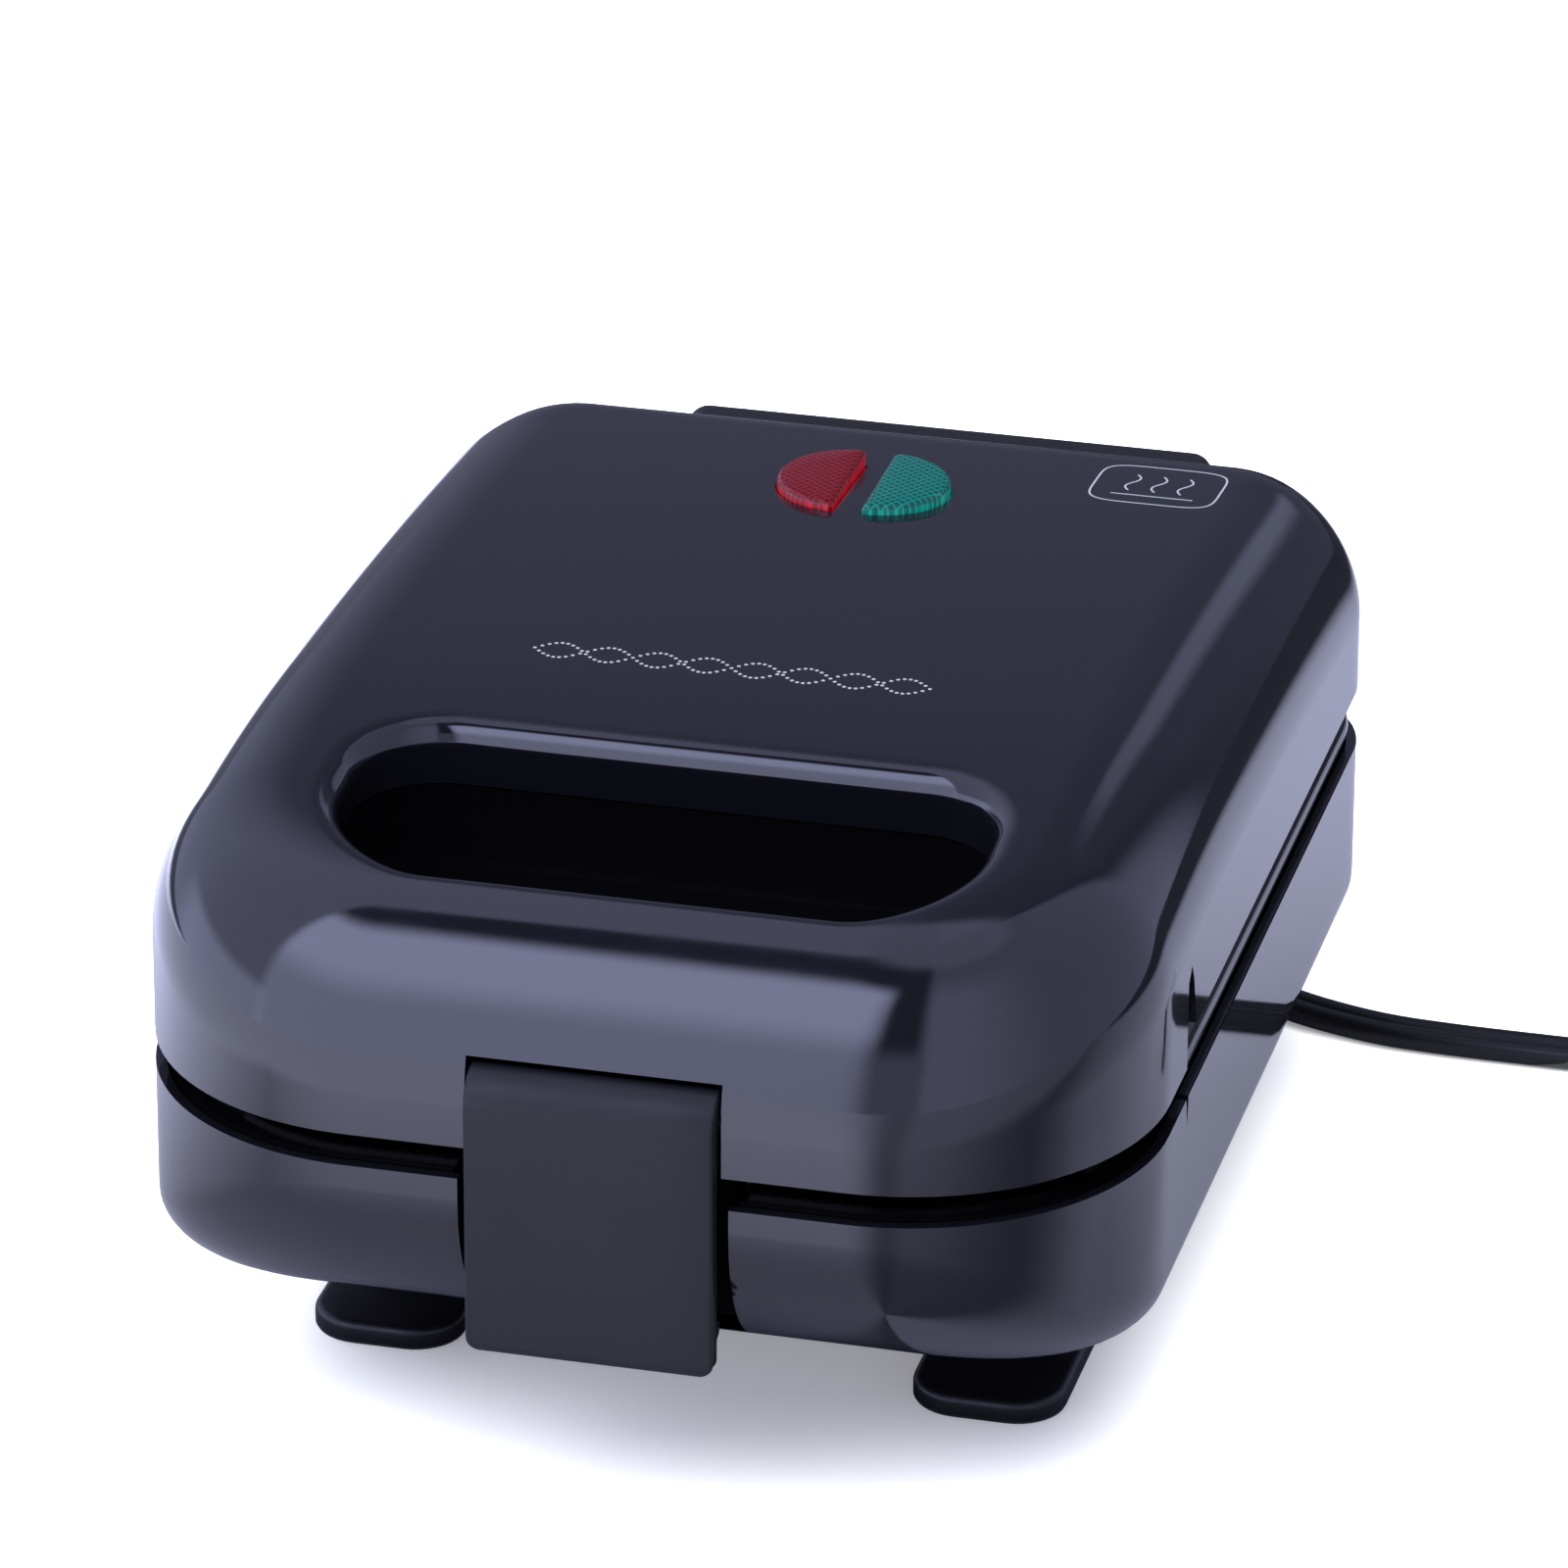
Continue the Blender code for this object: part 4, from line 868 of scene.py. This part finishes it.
for share, inset, ease in stations:
    flat = lever - lever_out * inset
    lever_rings.append(np.column_stack([share * lever_half - math.copysign(ease, share),
                                        latch_y + flat[:, 0], latch_z + flat[:, 1]]))
latch_lever = loft("latch_lever", lever_rings, charcoal, 40)
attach(latch_lever, "latch")
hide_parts("latch")

# ------------------------------------------------------------------ hinge cover
# A clip-on cover in matt black plastic hides the hinge. It is hollow, and open in front and below.
satin_black = plastic("satin_black", (0.004, 0.004, 0.0046), 0.4, 0.5, 0.015,
                      Specular_IOR_Level=0.3)
cover_box = rounded_box((-37.5, 79.6, 51.6), (37.5, 97.2, 73), 3.0, 8)
cover = piece("rear_cover", *cover_box, satin_black)
cut(cover, [plain_box((-35.5, 70, 40), (35.5, 95.2, 71))])
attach(cover, "lid")
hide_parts("hinge_cover")

# ------------------------------------------------------------------ feet
# Each foot is one moulding: a long flat pad with a round front and softened edges, and a square
# post that a screw pulls up against the casing.
foot_black = plastic("foot_black", (0.005, 0.005, 0.0062), 0.38, 0.6, 0.02,
                     Specular_IOR_Level=0.35)


def foot_rings(centre_x, pad_front, post_front):
    """Rings from the sole up round the pad's edges, in over its top and up the post."""
    counts = (8, 10, 14, 10, 8)
    pad, pad_out = plan(10.0, 0.0, 38.0, 6.6, 2.0, counts)
    post, post_out = plan(7.7, post_front - pad_front, post_front - pad_front + 14.0, 1.0, 1.0,
                          counts)
    rows = [(pad - pad_out * 0.6, 0.0), (pad - pad_out * 0.2, 0.12), (pad, 0.5), (pad, 2.2)]
    for lean in np.radians([25, 50, 70, 90]):
        rows.append((pad - pad_out * (1 - math.cos(lean)), 2.2 + 1.0 * math.sin(lean)))
    base = post + post_out * 1.0
    rows += [(pad - pad_out * 1.0 + (base - pad + pad_out * 1.0) * s, 3.2) for s in (0.5, 0.98)]
    for lean in np.radians([30, 60, 90]):
        rows.append((post + post_out * (1 - math.sin(lean)), 4.2 - math.cos(lean)))
    rows += [(post, 10.0), (post, 20.7), (post - post_out * 0.5, 21.2)]
    return [raised(flat + [centre_x, pad_front], height) for flat, height in rows]


for row, pad_front, post_front in (("front", -55.0, -32.5), ("rear", 22.0, 24.0)):
    for side, word in ((-1, "left"), (1, "right")):
        made = loft(f"{row}_pad_{word}", foot_rings(side * foot_x, pad_front, post_front),
                    foot_black)
        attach(made, "base")
        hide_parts(f"{row}_foot_{word}")

# ------------------------------------------------------------------ metal parts
# Hinge brackets, pins, thermostat and screws are zinc-plated steel; the elements are dull
# sheathed tubes and the reflectors bright folded aluminium. They keep their solid shapes.


# Fine streaks along X from rolling and drawing, which change the metal's roughness.
drawn, given, wanted = effect("drawn_streaks", {"Position": None, "Streaks": 1000.0, "Change": 0.2,
                                               "Roughness": 0.3}, ("Roughness",))
stretched = node(drawn, "Mapping", Vector=given["Position"], Scale=(0.08, 1, 1))["Vector"]
streak = node(drawn, "TexNoise", Vector=stretched, Scale=given["Streaks"], Detail=3)
uneven = calc(drawn, "SUBTRACT", streak["Fac"], 0.5)
wire(drawn, calc(drawn, "MULTIPLY_ADD", uneven, given["Change"], given["Roughness"]),
     wanted["Roughness"])


def metal(name, colour, roughness, streaks, change):
    """Bare metal with the streaks of its making."""
    made, tree, shader = paint(name, colour, roughness, Metallic=1)
    finish(tree, shader, drawn, Streaks=streaks, Change=change, Roughness=roughness)
    return made


screws = [f"{row}_hinge_screw_{side}" for row in ("lid", "base") for side in ("left", "right")]
screws += [f"foot_screw_{row}_{side}" for row in ("front", "rear") for side in ("left", "right")]
finishes = {
    metal("zinc_plate", (0.56, 0.56, 0.57), 0.3, 1500, 0.2): [
        "base_hinge_bracket", "lid_hinge_bracket", "hinge_pin", "latch_pin", "thermostat",
        *screws],
    metal("element_sheath", (0.22, 0.21, 0.2), 0.5, 700, 0.3): ["upper_element", "lower_element"],
    metal("bright_aluminium", (0.78, 0.78, 0.8), 0.25, 500, 0.2): ["upper_reflector",
                                                                   "lower_reflector"],
    painted_shade_black: ["latch_bracket", "latch_catch", "lamp_holder"],
    plastic("white_ceramic", (0.75, 0.74, 0.7), 0.5, 0.5, 0.02): ["terminal_block",
                                                                  "thermal_fuse"],
    plastic("glass_sleeving", (0.62, 0.58, 0.48), 0.8, 0.3, 0.08): ["lid_harness", "base_harness"],
    plastic("lamp_glass", (0.8, 0.7, 0.62), 0.1, 0.5, 0.0): ["red_lamp", "green_lamp"]}
for material, names in finishes.items():
    for name in names:
        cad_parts[name].material_slots[0].material = material

# ------------------------------------------------------------------ room
# A white table that runs out of sight, a bright soft light over the front, a softer one on the
# right, and a dark room behind them, which is what the glossy paint mirrors.
floor_white = paint("table_white", (0.95, 0.93, 0.84), 0.8, Emission_Color=(1, 1, 1, 1),
                    Emission_Strength=0.22)[0]
floor = piece("table", *plain_box((-6000, -6000, -20), (6000, 6000, 0)), floor_white)

# The walls of the room by compass and height: a tall window in front on the left, a bright wall
# below it, dimmer walls on the left and the right, and next to nothing behind and in the gap.
room = bpy.data.worlds.new("room")
room.use_nodes = True
walls = room.node_tree
toward = node(walls, "SeparateXYZ", Vector=node(walls, "TexCoord")["Generated"])


def bearing_of(tree, right, ahead):
    """Degrees from straight ahead, growing to the right."""
    return calc(tree, "MULTIPLY", calc(tree, "ARCTAN2", right, ahead), 180 / math.pi)


def fade(tree, value, start, end):
    """Goes smoothly from 0 at the start to 1 at the end; start may be the greater."""
    return node(tree, "MapRange", [("interpolation_type", "SMOOTHSTEP")], Value=value,
                From_Min=start, From_Max=end)["Result"]


def product(tree, *values):
    """The product of sockets and numbers."""
    total = values[0]
    for value in values[1:]:
        total = calc(tree, "MULTIPLY", total, value)
    return total


def tinted(tree, value, tint, socket):
    """Sends a grey, times a tint's red, green and blue, to a colour socket."""
    parts = {axis: calc(tree, "MULTIPLY", value, share) for axis, share in zip("XYZ", tint)}
    wire(tree, node(tree, "CombineXYZ", **parts)["Vector"], socket)


compass = bearing_of(walls, toward["X"], calc(walls, "MULTIPLY", toward["Y"], -1.0))
height = calc(walls, "MULTIPLY", calc(walls, "ARCSINE", toward["Z"]), 180 / math.pi)


def panel(radiance, left, right, low=None, high=None):
    """One part of the walls, bright between its left and right edges and its low and high edges,
    each given as the two angles in degrees that its fade runs between."""
    edges = [fade(walls, compass, *left), fade(walls, compass, *right)]
    edges += [fade(walls, height, *edge) for edge in (low, high) if edge]
    return product(walls, radiance, *edges)


every, end = (-200, -190), (200, 190)
radiance = 0.035
for part in (panel(0.75, every, end, (71, 79)),
             panel(0.92, (-175, -105), (-49, -55), high=(80, 71)),
             panel(1.05, (-114, -92), (-48, -54), high=(20, 13)),
             panel(2.0, (-55, -49), (-2, -14), high=(66, 58)),
             panel(1.3, (-55, -49), (-1, -8), (26, 44), (66, 58)),
             panel(0.55, (-14, -2), (15, 9), high=(38, 24)),
             panel(0.56, (9, 17), (154, 147), high=(80, 70)),
             panel(0.40, (9, 19), (75, 24), high=(70, 56)),
             panel(0.5, (-48, -56), (-27, -24), (60, 66)),
             panel(0.11, (148, 160), end), panel(0.11, every, (-150, -170)),
             panel(0.36, (165, 170), (177, 173), (10, 16), (42, 32))):
    radiance = calc(walls, "ADD", part, radiance)
tinted(walls, radiance, (0.93, 0.985, 1.5), walls.nodes["Background"].inputs["Color"])
bpy.context.scene.world = room

# A broad soft lamp overhead whitens the table. What the paint mirrors in place of the table is a
# grey cloth that only reflections see, with the table's light and shade painted into its colour as
# a painted reflection: a painted pool of light in front on the left, painted shade far behind and a
# painted shadow close round the body. It is drawn over the wound-up cord.
lamp = bpy.data.lights.new("overhead", "SUN")
lamp.energy = 8.5
lamp.angle = math.radians(80)
lamp.color = (0.9, 0.94, 1.0)
overhead = bpy.data.objects.new("overhead", lamp)
bpy.context.scene.collection.objects.link(overhead)
overhead.rotation_euler = (math.radians(12), math.radians(-6), 0)
overhead.visible_glossy = False
painted_reflection_cloth, painted_reflection_tree, shader = paint("painted_reflection_cloth", (0.3, 0.3, 0.3), 1.0, Specular_IOR_Level=0)
spot = node(painted_reflection_tree, "SeparateXYZ", Vector=place(painted_reflection_tree))
bearing = bearing_of(painted_reflection_tree, calc(painted_reflection_tree, "SUBTRACT", spot["X"], 0.033),
                     calc(painted_reflection_tree, "SUBTRACT", -0.100, spot["Y"]))
# Painted pool of light: the cloth is paler on the left, from the front round to behind, but not
# straight behind.
painted_light_pool = product(painted_reflection_tree, fade(painted_reflection_tree, bearing, 8, -15), 0.46, fade(painted_reflection_tree, bearing, -178, -150))
grey = calc(painted_reflection_tree, "ADD", painted_light_pool, 0.17)
# Fainter painted light to the front right and the right, and a paler painted patch behind.
for share, parts in ((0.08, (fade(painted_reflection_tree, bearing, 9, 19), fade(painted_reflection_tree, bearing, 80, 22))),
                     (0.10, (fade(painted_reflection_tree, bearing, 85, 125),)),
                     (0.35, (fade(painted_reflection_tree, spot["Y"], 0.17, 0.22),
                             fade(painted_reflection_tree, spot["X"], 0.085, 0.055)))):
    grey = calc(painted_reflection_tree, "MULTIPLY_ADD", product(painted_reflection_tree, *parts), share, grey)
# Painted shade: the cloth goes dark from a quarter metre behind onwards.
far = calc(painted_reflection_tree, "MULTIPLY_ADD", fade(painted_reflection_tree, spot["Y"], 0.40, 0.25), 0.93, 0.07)
# Painted shadow: the cloth darkens close round the body, except on its right.
ahead_of = calc(painted_reflection_tree, "MAXIMUM", calc(painted_reflection_tree, "SUBTRACT", -0.095, spot["Y"]),
                calc(painted_reflection_tree, "SUBTRACT", -0.065, spot["X"]))
clear_of_painted_shadow = calc(painted_reflection_tree, "MAXIMUM", fade(painted_reflection_tree, ahead_of, 0.03, 0.13), fade(painted_reflection_tree, bearing, 75, 100))
grey = product(painted_reflection_tree, grey, far, calc(painted_reflection_tree, "MULTIPLY_ADD", clear_of_painted_shadow, 0.68, 0.32))
tinted(painted_reflection_tree, grey, (0.97, 0.96, 1.15), shader["Base Color"])
line = np.concatenate([[-6000, -1000, -400], np.linspace(-200, 200, 81), [400, 1000, 6000]])
x, y = np.meshgrid(line, line, indexing="ij")


def rise_and_fall(value, low, high, soft=26.0):
    """A smooth step up at the low end and down again at the high end."""
    up = np.clip((value - low) / soft + 0.5, 0, 1)
    down = np.clip((high - value) / soft + 0.5, 0, 1)
    return up * up * (3 - 2 * up) * down * down * (3 - 2 * down)


hill = 18 * rise_and_fall(x, 104, 180) * rise_and_fall(y, -76, 78)
cloth = piece("painted_reflection_cloth", np.stack([x, y, 0.4 + hill], -1), quads(*x.shape, False).tolist(),
              painted_reflection_cloth)
cloth.visible_camera = cloth.visible_diffuse = cloth.visible_shadow = False
bpy.context.scene.view_settings.view_transform = "Standard"
